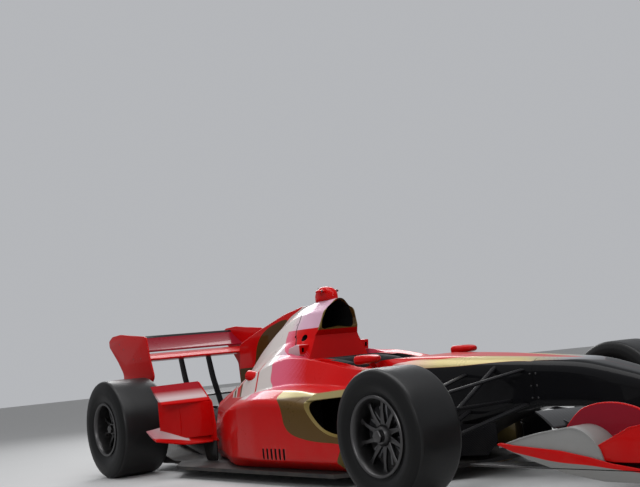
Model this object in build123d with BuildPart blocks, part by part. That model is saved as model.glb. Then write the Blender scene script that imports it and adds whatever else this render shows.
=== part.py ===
from build123d import *
import os
from math import cos, radians, sin

# Open wheel racing car. +X points to the nose, +Y to the driver's left, +Z up.
# The origin is on the ground, halfway along the car. All sizes are in millimetres.

# Chassis
overall_length = 4930
wheelbase = 3000
front_axle_x = 1215
rear_axle_x = front_axle_x - wheelbase
nose_x = overall_length / 2
tail_x = -overall_length / 2

# Wheels and tyres
front_tyre_radius = 292
front_tyre_width = 265
front_tyre_face = 940
rear_tyre_radius = 325
rear_tyre_width = 350
rear_tyre_face = 890
bead_radius = 166
lip_radius = 178
wheel_wall = 9
stub_radius = 24
stub_gap = 0.3

# Steering
kingpin_y = 752
kingpin_radius = 9
lower_eye_z = 182
upper_eye_z = 402
steering_arm = 80
track_rod_z = 360

# Monocoque
tub_half_width = 275
tub_wall = 16
tub_rear_x = -330
tub_front_x = 1440
tub_top = 655
floor_top = 75
floor_thickness = 20

# Bodywork
pod_face = 700
fin_thickness = 22

# Wings
front_wing_half = 620
foot_outer = 750
rear_wing_half = 490
plate = 10

os.makedirs("parts", exist_ok=True)


def save(part, name):
    part.label = name
    export_step(part, f"parts/{name}.step")


def rounded_face(x, points, radii):
    # a closed outline in the plane across the car at x, rounded at its corners
    with BuildSketch(Plane.YZ.offset(x)) as face:
        with BuildLine():
            FilletPolyline(*points, radius=radii, close=True)
        make_face()
    return face.sketch


def slab(points, y_low, y_high):
    # a side view outline made solid between two stations across the car
    with BuildPart() as solid:
        with BuildSketch(Plane.XZ.offset(-y_low)):
            with BuildLine():
                Polyline(*points, close=True)
            make_face()
        extrude(amount=-(y_high - y_low))
    return solid.part


def plan_slab(points, z_low, z_high):
    with BuildPart() as solid:
        with BuildSketch(Plane.XY.offset(z_low)):
            with BuildLine():
                Polyline(*points, close=True)
            make_face()
        extrude(amount=z_high - z_low)
    return solid.part


def tube(start, end, radius, flatten=1.0):
    # a straight rod between two points; flatten under 1 gives a blade section
    axis = Vector(*end) - Vector(*start)
    plane = Plane(origin=start, x_dir=(1, 0, 0), z_dir=axis.normalized())
    with BuildPart() as rod:
        with BuildSketch(plane):
            if flatten < 1:
                Ellipse(radius, radius * flatten)
            else:
                Circle(radius)
        extrude(amount=axis.length)
    return rod.part


def mirrored(part):
    return mirror(part, about=Plane.XZ)


def less(part, *cutters):
    # what is left of a piece once its neighbours are cut from it; loose crumbs are dropped
    with BuildPart() as rest:
        add(part)
        for cutter in cutters:
            add(cutter, mode=Mode.SUBTRACT)
    kept = [solid for solid in rest.part.solids() if solid.volume > 200]
    return Compound(kept)


def aerofoil(y, nose, tail, thickness, belly):
    # a wing section at one station across the car; belly pushes its middle down
    (x0, z0), (x1, z1) = nose, tail
    mid_x, mid_z = (x0 + x1) / 2 + 0.1 * (x0 - x1), (z0 + z1) / 2
    with BuildSketch(Plane.XZ.offset(-y)) as face:
        with BuildLine():
            ThreePointArc((x0 - 3, z0 + 6), (x0, z0), (x0 - 3, z0 - 6))
            ThreePointArc((x0 - 3, z0 - 6), (mid_x, mid_z - belly - thickness / 2), (x1, z1 - 2))
            Line((x1, z1 - 2), (x1, z1 + 2))
            ThreePointArc((x1, z1 + 2), (mid_x, mid_z - belly + thickness / 2), (x0 - 3, z0 + 6))
        make_face()
    return face.sketch


def wing_element(stations):
    # lofts aerofoils given as (y, nose, tail, thickness, belly)
    with BuildPart() as element:
        for row in stations:
            add(aerofoil(*row))
        loft(ruled=True)
    return element.part


# Monocoque: x, half width, bottom, top, bottom radius, top radius
tub_sections = [
    (480, 275, 75, 652, 10, 10),
    (560, 262, 85, 630, 20, 50),
    (680, 238, 100, 610, 30, 85),
    (900, 205, 190, 598, 45, 85),
    (1215, 172, 285, 572, 45, 70),
    (1440, 155, 325, 550, 45, 60),
]


def box_face(x, half, low, high, low_radius, high_radius):
    points = [(-half, low), (half, low), (half, high), (-half, high)]
    return rounded_face(x, points, [low_radius, low_radius, high_radius, high_radius])


def tub_outer():
    x, half, low, high, low_r, high_r = tub_sections[0]
    with BuildPart() as outer:
        add(box_face(tub_rear_x, half, low, high, low_r, high_r))
        extrude(amount=x - tub_rear_x, dir=(1, 0, 0))
        for row in tub_sections:
            add(box_face(*row))
        loft(ruled=True)
    return outer.part


def tub_inner():
    t = tub_wall
    inner = [(x, half - t, low + t, high - t, max(low_r - t, 12), max(high_r - t, 12))
             for x, half, low, high, low_r, high_r in tub_sections]
    x, half, low, high, low_r, high_r = inner[0]
    with BuildPart() as hollow:
        add(box_face(tub_rear_x + t, half, low, high, low_r, high_r))
        extrude(amount=x - tub_rear_x - t, dir=(1, 0, 0))
        for row in inner:
            add(box_face(*row))
        loft(ruled=True)
        with Locations((tub_front_x - t + 100, 0, 400)):
            Box(200, 500, 500, mode=Mode.SUBTRACT)
    return hollow.part


def rim_dip():
    # side view of what is taken off the cockpit's sides: they fall to the driver's elbows, then rise to the hoop
    with BuildPart() as dip:
        with BuildSketch(Plane.XZ.offset(-300)):
            with BuildLine():
                ThreePointArc((-200, 656), (60, 629), (300, 577))
                ThreePointArc((300, 577), (404, 590), (486, 656))
                Polyline((486, 656), (486, 720), (-200, 720), (-200, 656))
            make_face()
        extrude(amount=600)
    return dip.part


def monocoque():
    # plan of the cockpit opening: wide at the shoulders, narrow at the knees
    opening = [(-235, -212), (60, -212), (330, -190), (478, -110), (500, 0),
               (478, 110), (330, 190), (60, 212), (-235, 212)]
    with BuildPart() as tub:
        add(tub_outer())
        add(tub_inner(), mode=Mode.SUBTRACT)
        add(plan_slab(opening, 480, 700), mode=Mode.SUBTRACT)
        add(rim_dip(), mode=Mode.SUBTRACT)
        # the steering rack's housing on the chassis floor, and slots for the rack in the sides
        with Locations((front_axle_x + steering_arm, 0, 350)):
            Box(60, 120, 76)
        with BuildSketch(Plane.XZ.offset(-100)):
            with Locations((front_axle_x + steering_arm, track_rod_z)):
                Circle(12)
        extrude(amount=200, mode=Mode.SUBTRACT)
        with Locations((front_axle_x + steering_arm, 0, track_rod_z)):
            with Locations((0, -175, 0), (0, 175, 0)):
                Box(40, 120, 32, mode=Mode.SUBTRACT)
    save(tub.part, "tub")
    return tub.part


# Nose: x, half width, bottom, top, bottom radius, top radius
nose_sections = [
    (1440, 155, 325, 550, 45, 60),
    (1655, 138, 318, 529, 50, 60),
    (1880, 112, 285, 474, 50, 52),
    (2140, 86, 232, 388, 45, 45),
    (2360, 60, 196, 304, 35, 35),
    (2435, 36, 196, 252, 18, 18),
]


def nose_cone(wing_plane):
    with BuildPart() as nose:
        for row in nose_sections:
            add(box_face(*row))
        loft(ruled=True)
        # the two hangers that carry the front wing
        for side in (-1, 1):
            foot = slab([(2060, 300), (2230, 270), (2300, 100), (2130, 100)],
                        side * 62 - 7, side * 62 + 7)
            add(foot)
    piece = less(nose.part, wing_plane)
    biggest = piece.solids().sort_by(SortBy.VOLUME)[-1]
    save(Compound([biggest]), "nose_cone")
    return biggest


def cockpit_surround():
    # the padded collar round the driver's head
    outer = [(-235, -212), (60, -212), (130, -206), (130, 206), (60, 212), (-235, 212)]
    inner = [(-170, -135), (40, -150), (150, -165), (150, 165), (40, 150), (-170, 135)]
    with BuildPart() as collar:
        add(plan_slab(outer, 560, 650))
        add(plan_slab(inner, 540, 700), mode=Mode.SUBTRACT)
        add(rim_dip(), mode=Mode.SUBTRACT)
    save(collar.part, "cockpit_surround")


def driver_seat():
    # a thin moulded seat, reclined: side view of its inner face and its back
    back = 8
    face = [(-255, 540), (-60, 160), (40, 91 + back), (300, 91 + back), (390, 170)]
    under = [(398, 164), (305, 91), (36, 91), (-66, 152), (-262, 534)]
    with BuildPart() as seat:
        add(slab(face + under, -205, 205))
        for side in (-1, 1):
            wing = [(-262, 534), (-66, 152), (36, 91), (305, 91), (300, 240), (60, 320), (-150, 545)]
            add(slab(wing, side * 205 - 5, side * 205 + 5))
    save(seat.part, "seat")


def steering_wheel(tub_shell):
    # the rim plane leans back towards the driver
    tilt = Plane(origin=(330, 0, 530), x_dir=(0, 1, 0), z_dir=(-cos(radians(25)), 0, sin(radians(25))))
    with BuildPart() as wheel:
        with BuildSketch(tilt):
            RectangleRounded(250, 150, 55)
            with Locations((-78, 0), (78, 0)):
                RectangleRounded(42, 84, 18, mode=Mode.SUBTRACT)
        extrude(amount=26)
        with BuildSketch(tilt):
            Circle(22)
        extrude(amount=-150)
    with BuildPart() as whole:
        add(wheel.part)
        add(tube((455, 0, 472), (1278, 0, 370), 13))
    save(less(whole.part, tub_shell), "steering_wheel")


def mirrors(outer_tub, pod):
    # a streamlined housing on a flat stalk, one each side
    sections = [(574, 16, 10), (532, 42, 19), (462, 53, 24), (428, 51, 23)]
    with BuildPart() as housing:
        for x, half, height in sections:
            with BuildSketch(Plane.YZ.offset(x)):
                with Locations((350, 621)):
                    RectangleRounded(2 * half, 2 * height, min(half, height) * 0.85)
        loft(ruled=True)
        add(tube((468, 262, 535), (478, 334, 612), 24, 0.3))
    left = less(housing.part, outer_tub, pod)
    biggest = left.solids().sort_by(SortBy.VOLUME)[-1]
    save(Compound([biggest, mirrored(biggest)]), "mirrors")


# Front wing: y, leading edge (x, z), trailing edge (x, z), thickness, belly
def front_wing_main():
    half = [
        (0, (nose_x, 118), (2080, 112), 34, 14),
        (180, (2462, 118), (2075, 112), 34, 14),
        (330, (2440, 150), (2050, 168), 32, 12),
        (front_wing_half, (2405, 160), (2030, 186), 30, 10),
    ]
    right = [(-row[0],) + row[1:] for row in reversed(half[1:])]
    plane = wing_element(right + half)
    save(plane, "front_wing_main")
    return plane


def front_wing_flaps(nose):
    rows = [
        [(60, (2077, 205), (1950, 262), 16, 4), (front_wing_half, (2052, 208), (1925, 276), 16, 6)],
        [(60, (1974, 278), (1888, 330), 12, 3), (front_wing_half, (1945, 290), (1858, 352), 12, 4)],
    ]
    with BuildPart() as flaps:
        for row in rows:
            add(wing_element(row))
        # slot brackets that hold the upper flap over the lower one
        for y in (240, 400, 540):
            add(slab([(2010, 215), (1900, 240), (1880, 330), (1960, 300)], y - 2, y + 2))
    left = less(flaps.part, nose)
    save(Compound([*left.solids(), *mirrored(left).solids()]), "front_wing_flaps")


def front_endplates():
    # domed fence, foot plate with an arched tunnel over it, outer strip and a small triangular vane
    strip = [(1757, 150), (1757, 242), (1774, 246), (1841, 237), (2071, 220), (2207, 198), (2300, 178), (2440, 160),
             (2440, 150)]
    foot = [(1600, 690), (1560, 742), (1757, foot_outer), (2440, foot_outer), (2440, front_wing_half),
            (1915, front_wing_half), (1740, 640)]
    with BuildPart() as endplate:
        with BuildSketch(Plane.XZ.offset(-front_wing_half)):
            with BuildLine():
                Polyline((2440, 220), (2440, 150), (1915, 150), (1918, 232))
                ThreePointArc((1918, 232), (1966, 306), (2050, 354))
                ThreePointArc((2050, 354), (2210, 381), (2352, 346))
                ThreePointArc((2352, 346), (2414, 296), (2440, 220))
            make_face()
        extrude(amount=-plate)
        with BuildSketch(Plane.XZ.offset(-front_wing_half - 4)):
            with BuildLine():
                ThreePointArc((1757, 232), (2010, 284), (2262, 188))
                Line((2262, 188), (2256, 182))
                ThreePointArc((2256, 182), (2009, 277), (1757, 225))
                Line((1757, 225), (1757, 232))
            make_face()
        extrude(amount=-(foot_outer - front_wing_half - 6))
        add(slab(strip, foot_outer - 8, foot_outer))
        add(plan_slab(foot, 150, 158))
        add(slab([(2217, 196), (2400, 254), (2400, 262), (2217, 204)], front_wing_half + plate - 1, 735))
    left = less(endplate.part)
    save(Compound([*left.solids(), *mirrored(left).solids()]), "front_endplates")


# Front suspension, left side; the right is its mirror image
def arm_pair(outer, inner_points, radius, flatten):
    with BuildPart() as arms:
        for point in inner_points:
            add(tube(outer, point, radius, flatten))
    return arms.part


def front_wishbones(outer_tub, side):
    ball = (front_axle_x, kingpin_y)
    with BuildPart() as lower:
        add(arm_pair((*ball, lower_eye_z), [(1390, 110, 352), (1010, 130, 330)], 19, 0.42))
        with Locations((front_axle_x, 664, 206)):
            Box(70, 46, 26)
        # pushrod up to the rocker inside the chassis
        add(tube((front_axle_x, 664, 206), (front_axle_x, 100, 560), 14, 0.7))
        with Locations((*ball, lower_eye_z)):
            Cylinder(22, 16)
            Cylinder(kingpin_radius + stub_gap, 60, mode=Mode.SUBTRACT)
            # the upright's foot turns here
        with Locations((*ball, lower_eye_z + 8 + 20)):
            Cylinder(30, 40, mode=Mode.SUBTRACT)
        with Locations((*ball, lower_eye_z - 8 - 20)):
            Cylinder(30, 40, mode=Mode.SUBTRACT)
    with BuildPart() as upper:
        add(arm_pair((*ball, upper_eye_z), [(1390, 110, 508), (1010, 130, 505)], 19, 0.42))
        with Locations((*ball, upper_eye_z)):
            Cylinder(22, 16)
            Cylinder(kingpin_radius + stub_gap, 60, mode=Mode.SUBTRACT)
        with Locations((*ball, upper_eye_z + 8 + 20)):
            Cylinder(30, 40, mode=Mode.SUBTRACT)
        with Locations((*ball, upper_eye_z - 8 - 20)):
            Cylinder(30, 40, mode=Mode.SUBTRACT)
    both = less(Compound([lower.part.solid(), upper.part.solid()]), outer_tub)
    if side < 0:
        both = mirrored(both)
    save(Compound(both.solids()), "front_wishbones_left" if side > 0 else "front_wishbones_right")


def steering_rack():
    reach = kingpin_y
    x = front_axle_x + steering_arm
    with BuildPart() as rack:
        add(tube((x, -reach, track_rod_z), (x, reach, track_rod_z), 9))
        with Locations((x, -reach, track_rod_z), (x, reach, track_rod_z)):
            Cylinder(18, 14)
            Cylinder(11, 30, mode=Mode.SUBTRACT)
    save(rack.part, "steering_rack")


def front_upright(side):
    x, y = front_axle_x, kingpin_y
    drum_in, drum_out = y + 28, 850
    wheel_z = front_tyre_radius
    with BuildPart() as upright:
        with Locations((x, y + 2, (lower_eye_z + upper_eye_z) / 2)):
            Box(44, 26, upper_eye_z - lower_eye_z - 18)
        with Locations((x, y, (lower_eye_z + upper_eye_z) / 2)):
            Cylinder(kingpin_radius, upper_eye_z - lower_eye_z + 40)
        with Locations((x, y, lower_eye_z - 16), (x, y, upper_eye_z + 16)):
            Cylinder(14, 13)
        with Locations((x + steering_arm / 2, y, track_rod_z - 18)):
            Box(steering_arm + 18, 18, 14)
        with Locations((x + steering_arm, y, track_rod_z)):
            Cylinder(6.5, 44)
        with BuildSketch(Plane.XZ.offset(-drum_in)):
            with Locations((x, wheel_z)):
                Circle(140)
        extrude(amount=-(drum_out - drum_in))
        with Locations((x, (y + drum_in) / 2, wheel_z)):
            Box(70, drum_in - y + 2, 110)
        with BuildSketch(Plane.XZ.offset(-drum_out)):
            with Locations((x, wheel_z)):
                Circle(stub_radius)
        extrude(amount=-(905 - drum_out))
    piece = upright.part if side > 0 else mirrored(upright.part)
    save(piece, "front_upright_left" if side > 0 else "front_upright_right")


# Wheels: revolved about the axle; y runs outwards from the car's middle
def wheel_plane(x, z, y):
    return Plane(origin=(x, y, z), x_dir=(1, 0, 0), z_dir=(0, 1, 0))


def spun(points, centre):
    # revolves a closed (radius, y) outline about an axle at centre (x, z)
    x, z = centre
    section = Plane(origin=(x, 0, z), x_dir=(1, 0, 0), z_dir=(0, 0, 1))
    with BuildPart() as ring:
        with BuildSketch(section):
            with BuildLine():
                Polyline(*points, close=True)
            make_face()
        revolve(axis=Axis((x, 0, z), (0, 1, 0)))
    return ring.part


def tyre(centre, radius, face, width, name, side):
    # bead, bulging sidewalls, round shoulders and a nearly flat tread
    inner = face - width
    seat_in, seat_out = inner + 22, face - 18
    x, z = centre
    shoulder = 34
    section = Plane(origin=(x, 0, z), x_dir=(1, 0, 0), z_dir=(0, 0, 1))
    with BuildPart() as ring:
        with BuildSketch(section):
            with BuildLine():
                Line((bead_radius, seat_in), (bead_radius, seat_out))
                Line((bead_radius, seat_out), (lip_radius + 8, seat_out))
                ThreePointArc((lip_radius + 8, seat_out), (radius - 62, face), (radius - 22, face - 9))
                ThreePointArc((radius - 22, face - 9), (radius - 6, face - 20), (radius - 1, face - shoulder))
                Line((radius - 1, face - shoulder), (radius, face - width / 2))
                Line((radius, face - width / 2), (radius - 1, inner + shoulder))
                ThreePointArc((radius - 1, inner + shoulder), (radius - 6, inner + 20), (radius - 22, inner + 9))
                ThreePointArc((radius - 22, inner + 9), (radius - 62, inner), (lip_radius + 8, seat_in))
                Line((lip_radius + 8, seat_in), (bead_radius, seat_in))
            make_face()
        revolve(axis=Axis((x, 0, z), (0, 1, 0)))
    save(ring.part if side > 0 else mirrored(ring.part), name)


def rim(centre, face, width, web_y, spokes, name, side):
    # barrel with two lips, a spoked face, a hub and its centre nut
    inner = face - width
    seat_in, seat_out = inner + 22, face - 18
    lip_in, lip_out = seat_in - 9, seat_out + 9
    x, z = centre
    wall = bead_radius - wheel_wall
    outline = [(wall, lip_in), (lip_radius, lip_in), (lip_radius, seat_in), (bead_radius, seat_in),
               (bead_radius, seat_out), (lip_radius, seat_out), (lip_radius, lip_out), (wall + 6, lip_out),
               (wall, lip_out - 24)]
    with BuildPart() as wheel:
        add(spun(outline, centre))
        with BuildSketch(wheel_plane(x, z, web_y)):
            Circle(48)
        extrude(amount=38)
        with BuildSketch(wheel_plane(x, z, web_y)):
            with PolarLocations(0, spokes):
                Polygon((40, -15), (162, -9), (162, 9), (40, 15), align=None)
        extrude(amount=18)
        with BuildSketch(wheel_plane(x, z, web_y + 38)):
            RegularPolygon(30, 6)
        extrude(amount=20)
        with BuildSketch(wheel_plane(x, z, web_y - 1)):
            Circle(stub_radius + stub_gap)
        extrude(amount=39, mode=Mode.SUBTRACT)
        add(spun([(bead_radius + 0.01, seat_in), (lip_radius + 20, seat_in), (lip_radius + 20, seat_out),
                  (bead_radius + 0.01, seat_out)], centre), mode=Mode.SUBTRACT)
    save(wheel.part if side > 0 else mirrored(wheel.part), name)


# Sidepod, left side: x, outer half width, top edge y, top edge z, waist y, waist z,
# shoulder y, shoulder z, height where it meets the cockpit or the engine cover
pod_sections = [
    (680, 700, 620, 468, 410, 475, 352, 550, 600),
    (366, 700, 620, 472, 405, 480, 352, 573, 622),
    (148, 700, 615, 494, 430, 503, 350, 616, 645),
    (-145, 698, 605, 505, 430, 518, 350, 663, 668),
    (-270, 686, 591, 496, 427, 513, 350, 669, 682),
    (-474, 652, 560, 470, 420, 500, 350, 641, 698),
    (-720, 560, 490, 428, 405, 455, 345, 580, 628),
    (-956, 446, 400, 372, 362, 402, 328, 498, 545),
    (-1250, 330, 318, 290, 306, 330, 292, 395, 436),
]
lip_top = (338, 440)
lip_middle = (404, 352)
lip_bottom = (640, 257)


def pod_body():
    low = floor_top
    with BuildPart() as pod:
        for x, w, top_y, top_z, waist_y, waist_z, ridge_y, ridge_z, in_z in pod_sections:
            foot = min(600, w - 30)
            points = [(tub_half_width, low), (foot, low), (w, low + 60), (w, top_z - 52), (top_y, top_z),
                      (waist_y, waist_z), (ridge_y, ridge_z), (tub_half_width, in_z)]
            k = 1 if w > 400 else 0.3
            add(rounded_face(x, points, [2, 30 * k, 30 * k, 40 * k, 60 * k, 30 * k, 9 * k, 2]))
        loft(ruled=True)
        # swept inlet: the lower lip reaches further forward than the upper one
        with BuildSketch(Plane.XZ.offset(-tub_half_width + 5)):
            with BuildLine():
                ThreePointArc(lip_top, lip_middle, lip_bottom)
                ThreePointArc(lip_bottom, (657, 226), (635, 197))
                Polyline((635, 197), (548, 60), (548, 0), (900, 0), (900, 440), lip_top)
            make_face()
        extrude(amount=-500, mode=Mode.SUBTRACT)
        # the inlet's roof sweeps forward to a tip, and only a pointed fairing runs on along the cockpit side
        ahead = [(338, 800), (338, 684), (412, 400), (430, 352), (560, 262), (900, 262), (900, 800)]
        add(plan_slab(ahead, 430, 800), mode=Mode.SUBTRACT)
    return pod.part


def pod_duct():
    # the cooling duct behind the inlet: x, inner y, outer y, bottom, top
    with BuildPart() as duct:
        for x, y0, y1, z0, z1 in [(700, 376, 676, 262, 434), (330, 364, 676, 240, 434), (-60, 300, 672, 108, 484)]:
            with BuildSketch(Plane.YZ.offset(x)):
                with Locations(((y0 + y1) / 2, (z0 + z1) / 2)):
                    RectangleRounded(y1 - y0, z1 - z0, 58)
        loft(ruled=True)
    return duct.part


def sidepods():
    pod = less(pod_body(), pod_duct())
    save(pod, "sidepod_left")
    save(mirrored(pod), "sidepod_right")
    with BuildPart() as core:
        with BuildSketch(Plane.YZ.offset(-60)):
            with Locations((491, 297)):
                RectangleRounded(340, 340, 50)
        extrude(amount=42)
    save(Compound([core.part.solid(), mirrored(core.part).solid()]), "radiators")
    return pod


# Engine cover: x, base z, base half width, edge z, lower flank (y, z), upper flank (y, z), top z
cover_sections = [
    (-160, 440, 190, 652, 160, 760, 112, 930, 1018),
    (-245, 440, 225, 656, 168, 770, 116, 930, 1020),
    (-330, 440, 275, 672, 188, 788, 114, 930, 1020),
    (-474, 440, 275, 698, 198, 768, 88, 925, 1008),
    (-720, 440, 275, 628, 165, 725, 74, 862, 925),
    (-956, 440, 275, 545, 148, 630, 68, 750, 810),
    (-1130, 425, 274, 470, 135, 535, 62, 640, 690),
    (-1290, 412, 230, 436, 115, 465, 56, 530, 565),
    (-1440, 402, 150, 416, 90, 428, 44, 448, 462),
]
fin_outline = [(-430, 985), (-563, 990), (-776, 960), (-988, 910), (-1163, 866), (-1375, 806),
               (-1400, 600), (-1400, 440), (-900, 500), (-430, 900)]
scoop_outline = [(-402, 678), (-272, 678), (-262, 741), (-300, 746), (-385, 730)]
scoop_mouth = [(-330, 690), (-240, 690), (-240, 733), (-330, 728)]
mouth_cut = [(-100, 1100), (-158, 1100), (-166, 1012), (-205, 836), (-238, 790), (-236, 640), (-100, 600)]


def airbox_duct():
    # arched duct from the inlet above the driver's head back to the engine
    with BuildPart() as duct:
        for x, half, high_half, low, top in [(-130, 122, 84, 824, 1004), (-300, 118, 84, 824, 1002),
                                             (-520, 78, 52, 800, 960)]:
            points = [(-half, low), (0, low + 14), (half, low), (half - 4, low + 60),
                      (high_half, low + 128), (0, top), (-high_half, low + 128), (-half + 4, low + 60)]
            add(rounded_face(x, points, [20, 80, 20, 30, 30, 40, 30, 30]))
        loft(ruled=True)
    return duct.part


def cover_form():
    with BuildPart() as form:
        for x, base, half, edge_z, y1, z1, y2, z2, top in cover_sections:
            points = [(-half, base), (half, base), (half, edge_z), (y1, z1), (y2, z2), (0, top),
                      (-y2, z2), (-y1, z1), (-half, edge_z)]
            small = 0.2 if x < -1200 else 1
            add(rounded_face(x, points, [2, 2, 4, 60 * small, 40 * small, 55 * small, 40 * small, 60 * small, 4]))
        loft(ruled=True)
    return form.part


def engine_cover(gearbox_body):
    form = cover_form()
    with BuildPart() as cover:
        add(form)
        add(slab(mouth_cut, -300, 300), mode=Mode.SUBTRACT)
        # a small hooded scoop on each flank
        for side in (-1, 1):
            add(slab(scoop_outline, side * 226 - 36, side * 226 + 36))
            add(slab(scoop_mouth, side * 238 - 16, side * 238 + 16), mode=Mode.SUBTRACT)
        add(airbox_duct(), mode=Mode.SUBTRACT)
        # the front stands on the chassis, which fills the space below it
        with Locations((tub_rear_x + 200, 0, tub_top - 3 - 200)):
            Box(400, 700, 400, mode=Mode.SUBTRACT)
        # bore through the roll hoop for a lifting strop
        with BuildSketch(Plane.XZ.offset(300)):
            with Locations((-314, 784)):
                Circle(20)
        extrude(amount=-600, mode=Mode.SUBTRACT)
    whole = less(cover.part, gearbox_body)
    save(whole, "engine_cover")
    # the tall thin fin that runs back from the airbox
    fin = less(slab(fin_outline, -fin_thickness / 2, fin_thickness / 2), form)
    save(fin, "engine_fin")
    return whole


def camera_pod(cover):
    with BuildPart() as pod:
        for x, half, low, top in [(-205, 20, 990, 1036), (-262, 34, 990, 1080), (-320, 34, 990, 1087),
                                  (-400, 18, 990, 1050)]:
            with BuildSketch(Plane.YZ.offset(x)):
                with Locations((0, (low + top) / 2)):
                    RectangleRounded(2 * half, top - low, half * 0.8)
        loft(ruled=True)
        # stub wings that hold the lenses
        with Locations((-290, 0, 1056)):
            Box(54, 150, 20)
    piece = less(pod.part, cover).solids().sort_by(SortBy.VOLUME)[-1]
    save(Compound([piece]), "camera_pod")


def floor_and_plank():
    outline = [(1020, 150), (970, 290), (700, 520), (600, 640), (560, pod_face), (-1130, pod_face), (-1400, 520), (-1500, 520)]
    points = outline + [(x, -y) for x, y in reversed(outline)]
    save(plan_slab(points, floor_top - floor_thickness, floor_top), "floor")
    plank = [(990, 110), (940, 150), (-1480, 150), (-1480, -150), (940, -150), (990, -110)]
    save(plan_slab(plank, 45, 55), "skid_plank")


def engine_block():
    with BuildPart() as block:
        with Locations(((tub_rear_x - 900) / 2, 0, (floor_top + 440) / 2)):
            Box(900 + tub_rear_x, 500, 440 - floor_top)
    save(block.part, "engine_block")


def gearbox():
    with BuildPart() as case:
        for x, half, low, top in [(-900, 200, 110, 430), (-1320, 138, 150, 408), (-1900, 122, 205, 392)]:
            with BuildSketch(Plane.YZ.offset(x)):
                with Locations((0, (low + top) / 2)):
                    RectangleRounded(2 * half, top - low, 40)
        loft(ruled=True)
        with BuildSketch(Plane.XZ.offset(-175)):
            with Locations((rear_axle_x, rear_tyre_radius)):
                Circle(58)
        extrude(amount=350)
    save(case.part, "gearbox")
    return case.part


def crash_box():
    with BuildPart() as box:
        for x, half, low, top in [(-1900, 118, 215, 388), (-2080, 96, 240, 384), (-2300, 52, 290, 372)]:
            with BuildSketch(Plane.YZ.offset(x)):
                with Locations((0, (low + top) / 2)):
                    RectangleRounded(2 * half, top - low, 26)
        loft(ruled=True)
        # rain light on the end, and the towing eye below it
        with Locations((-2306, 0, 338)):
            Box(12, 70, 60)
        with Locations((-2310, 0, 300)):
            Box(60, 14, 34)
        with BuildSketch(Plane.XZ.offset(20)):
            with Locations((-2326, 300)):
                Circle(9)
        extrude(amount=-40, mode=Mode.SUBTRACT)
    save(box.part, "crash_box")
    return box.part


def rear_upright(side):
    x, z = rear_axle_x, rear_tyre_radius
    with BuildPart() as upright:
        with Locations((x, 575, z)):
            Box(90, 30, 260)
        with BuildSketch(wheel_plane(x, z, 590)):
            Circle(138)
        extrude(amount=150)
        with BuildSketch(wheel_plane(x, z, 540)):
            Circle(20)
        extrude(amount=300, mode=Mode.SUBTRACT)
    piece = upright.part
    save(piece if side > 0 else mirrored(piece), "rear_upright_left" if side > 0 else "rear_upright_right")
    return piece


def rear_wishbones(side, case):
    x, z = rear_axle_x, rear_tyre_radius
    arms = []
    for height, front, rear in ((-118, (-1470, 60, 200), (-1850, 60, 232)), (112, (-1560, 60, 385), (-1846, 60, 380))):
        with BuildPart() as pair:
            add(arm_pair((x, 546, z + height), [front, rear], 19, 0.42))
            with Locations((x, 546, z + height)):
                Box(52, 28, 26)
        arms.append(less(pair.part, case).solids().sort_by(Axis.Y)[-1])
    pair = Compound(arms)
    save(pair if side > 0 else mirrored(pair), "rear_wishbones_left" if side > 0 else "rear_wishbones_right")


def driveshaft(side, web_y):
    x, z = rear_axle_x, rear_tyre_radius
    with BuildPart() as shaft:
        with BuildSketch(wheel_plane(x, z, 181)):
            Circle(14)
        extrude(amount=web_y + 30 - 181)
        with BuildSketch(wheel_plane(x, z, 181)):
            Circle(42)
        extrude(amount=45)
        with BuildSketch(wheel_plane(x, z, web_y)):
            Circle(stub_radius)
        extrude(amount=30)
    save(shaft.part if side > 0 else mirrored(shaft.part), "driveshaft_left" if side > 0 else "driveshaft_right")


def rear_wing():
    main = wing_element([(-rear_wing_half, (-1880, 770), (-2172, 818), 40, 18),
                         (rear_wing_half, (-1880, 770), (-2172, 818), 40, 18)])
    save(main, "rear_wing_main")
    flap = wing_element([(-rear_wing_half, (-2150, 834), (-2322, 945), 22, 12),
                         (rear_wing_half, (-2150, 834), (-2322, 945), 22, 12)])
    save(flap, "rear_wing_flap")
    outline = [(-1745, 640), (-1800, 800), (-1825, 925), (-1870, 938), (-2100, 962), (-2250, 980), (-2400, 975),
               (tail_x, 945), (tail_x, 900), (-2330, 780), (-2250, 690), (-2235, 455), (-1985, 455)]
    fence = slab(outline, rear_wing_half, rear_wing_half + plate)
    save(Compound([fence.solid(), mirrored(fence).solid()]), "rear_endplates")
    return main


def rear_pylons(main, case, box):
    with BuildPart() as pylon:
        add(slab([(-1870, 370), (-1990, 370), (-2100, 600), (-2150, 860), (-2020, 860), (-1960, 600)], 104, 114))
    left = less(pylon.part, main, case, box)
    low = left.solids().sort_by(Axis.Z)[0]
    save(Compound([low, mirrored(low)]), "rear_wing_pylons")
    return Compound([low, mirrored(low)])


def beam_wing(pylons):
    beam = wing_element([(-rear_wing_half, (-2000, 470), (-2180, 505), 22, 8),
                         (rear_wing_half, (-2000, 470), (-2180, 505), 22, 8)])
    save(less(beam, pylons), "rear_beam_wing")


def diffuser():
    with BuildPart() as tunnel:
        with BuildSketch(Plane.XZ.offset(500)):
            with BuildLine():
                ThreePointArc((-1500, 55), (-1830, 110), (-2130, 235))
                Line((-2130, 235), (-2130, 249))
                ThreePointArc((-2130, 249), (-1825, 124), (-1500, 69))
                Line((-1500, 69), (-1500, 55))
            make_face()
        extrude(amount=-1000)
        side = [(-1500, 55), (-2130, 235), (-2130, 90), (-1700, 52)]
        for y in (-496, -260, -110, 110, 260, 496):
            add(slab(side, y - 4, y + 4))
    save(tunnel.part, "diffuser")


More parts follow.
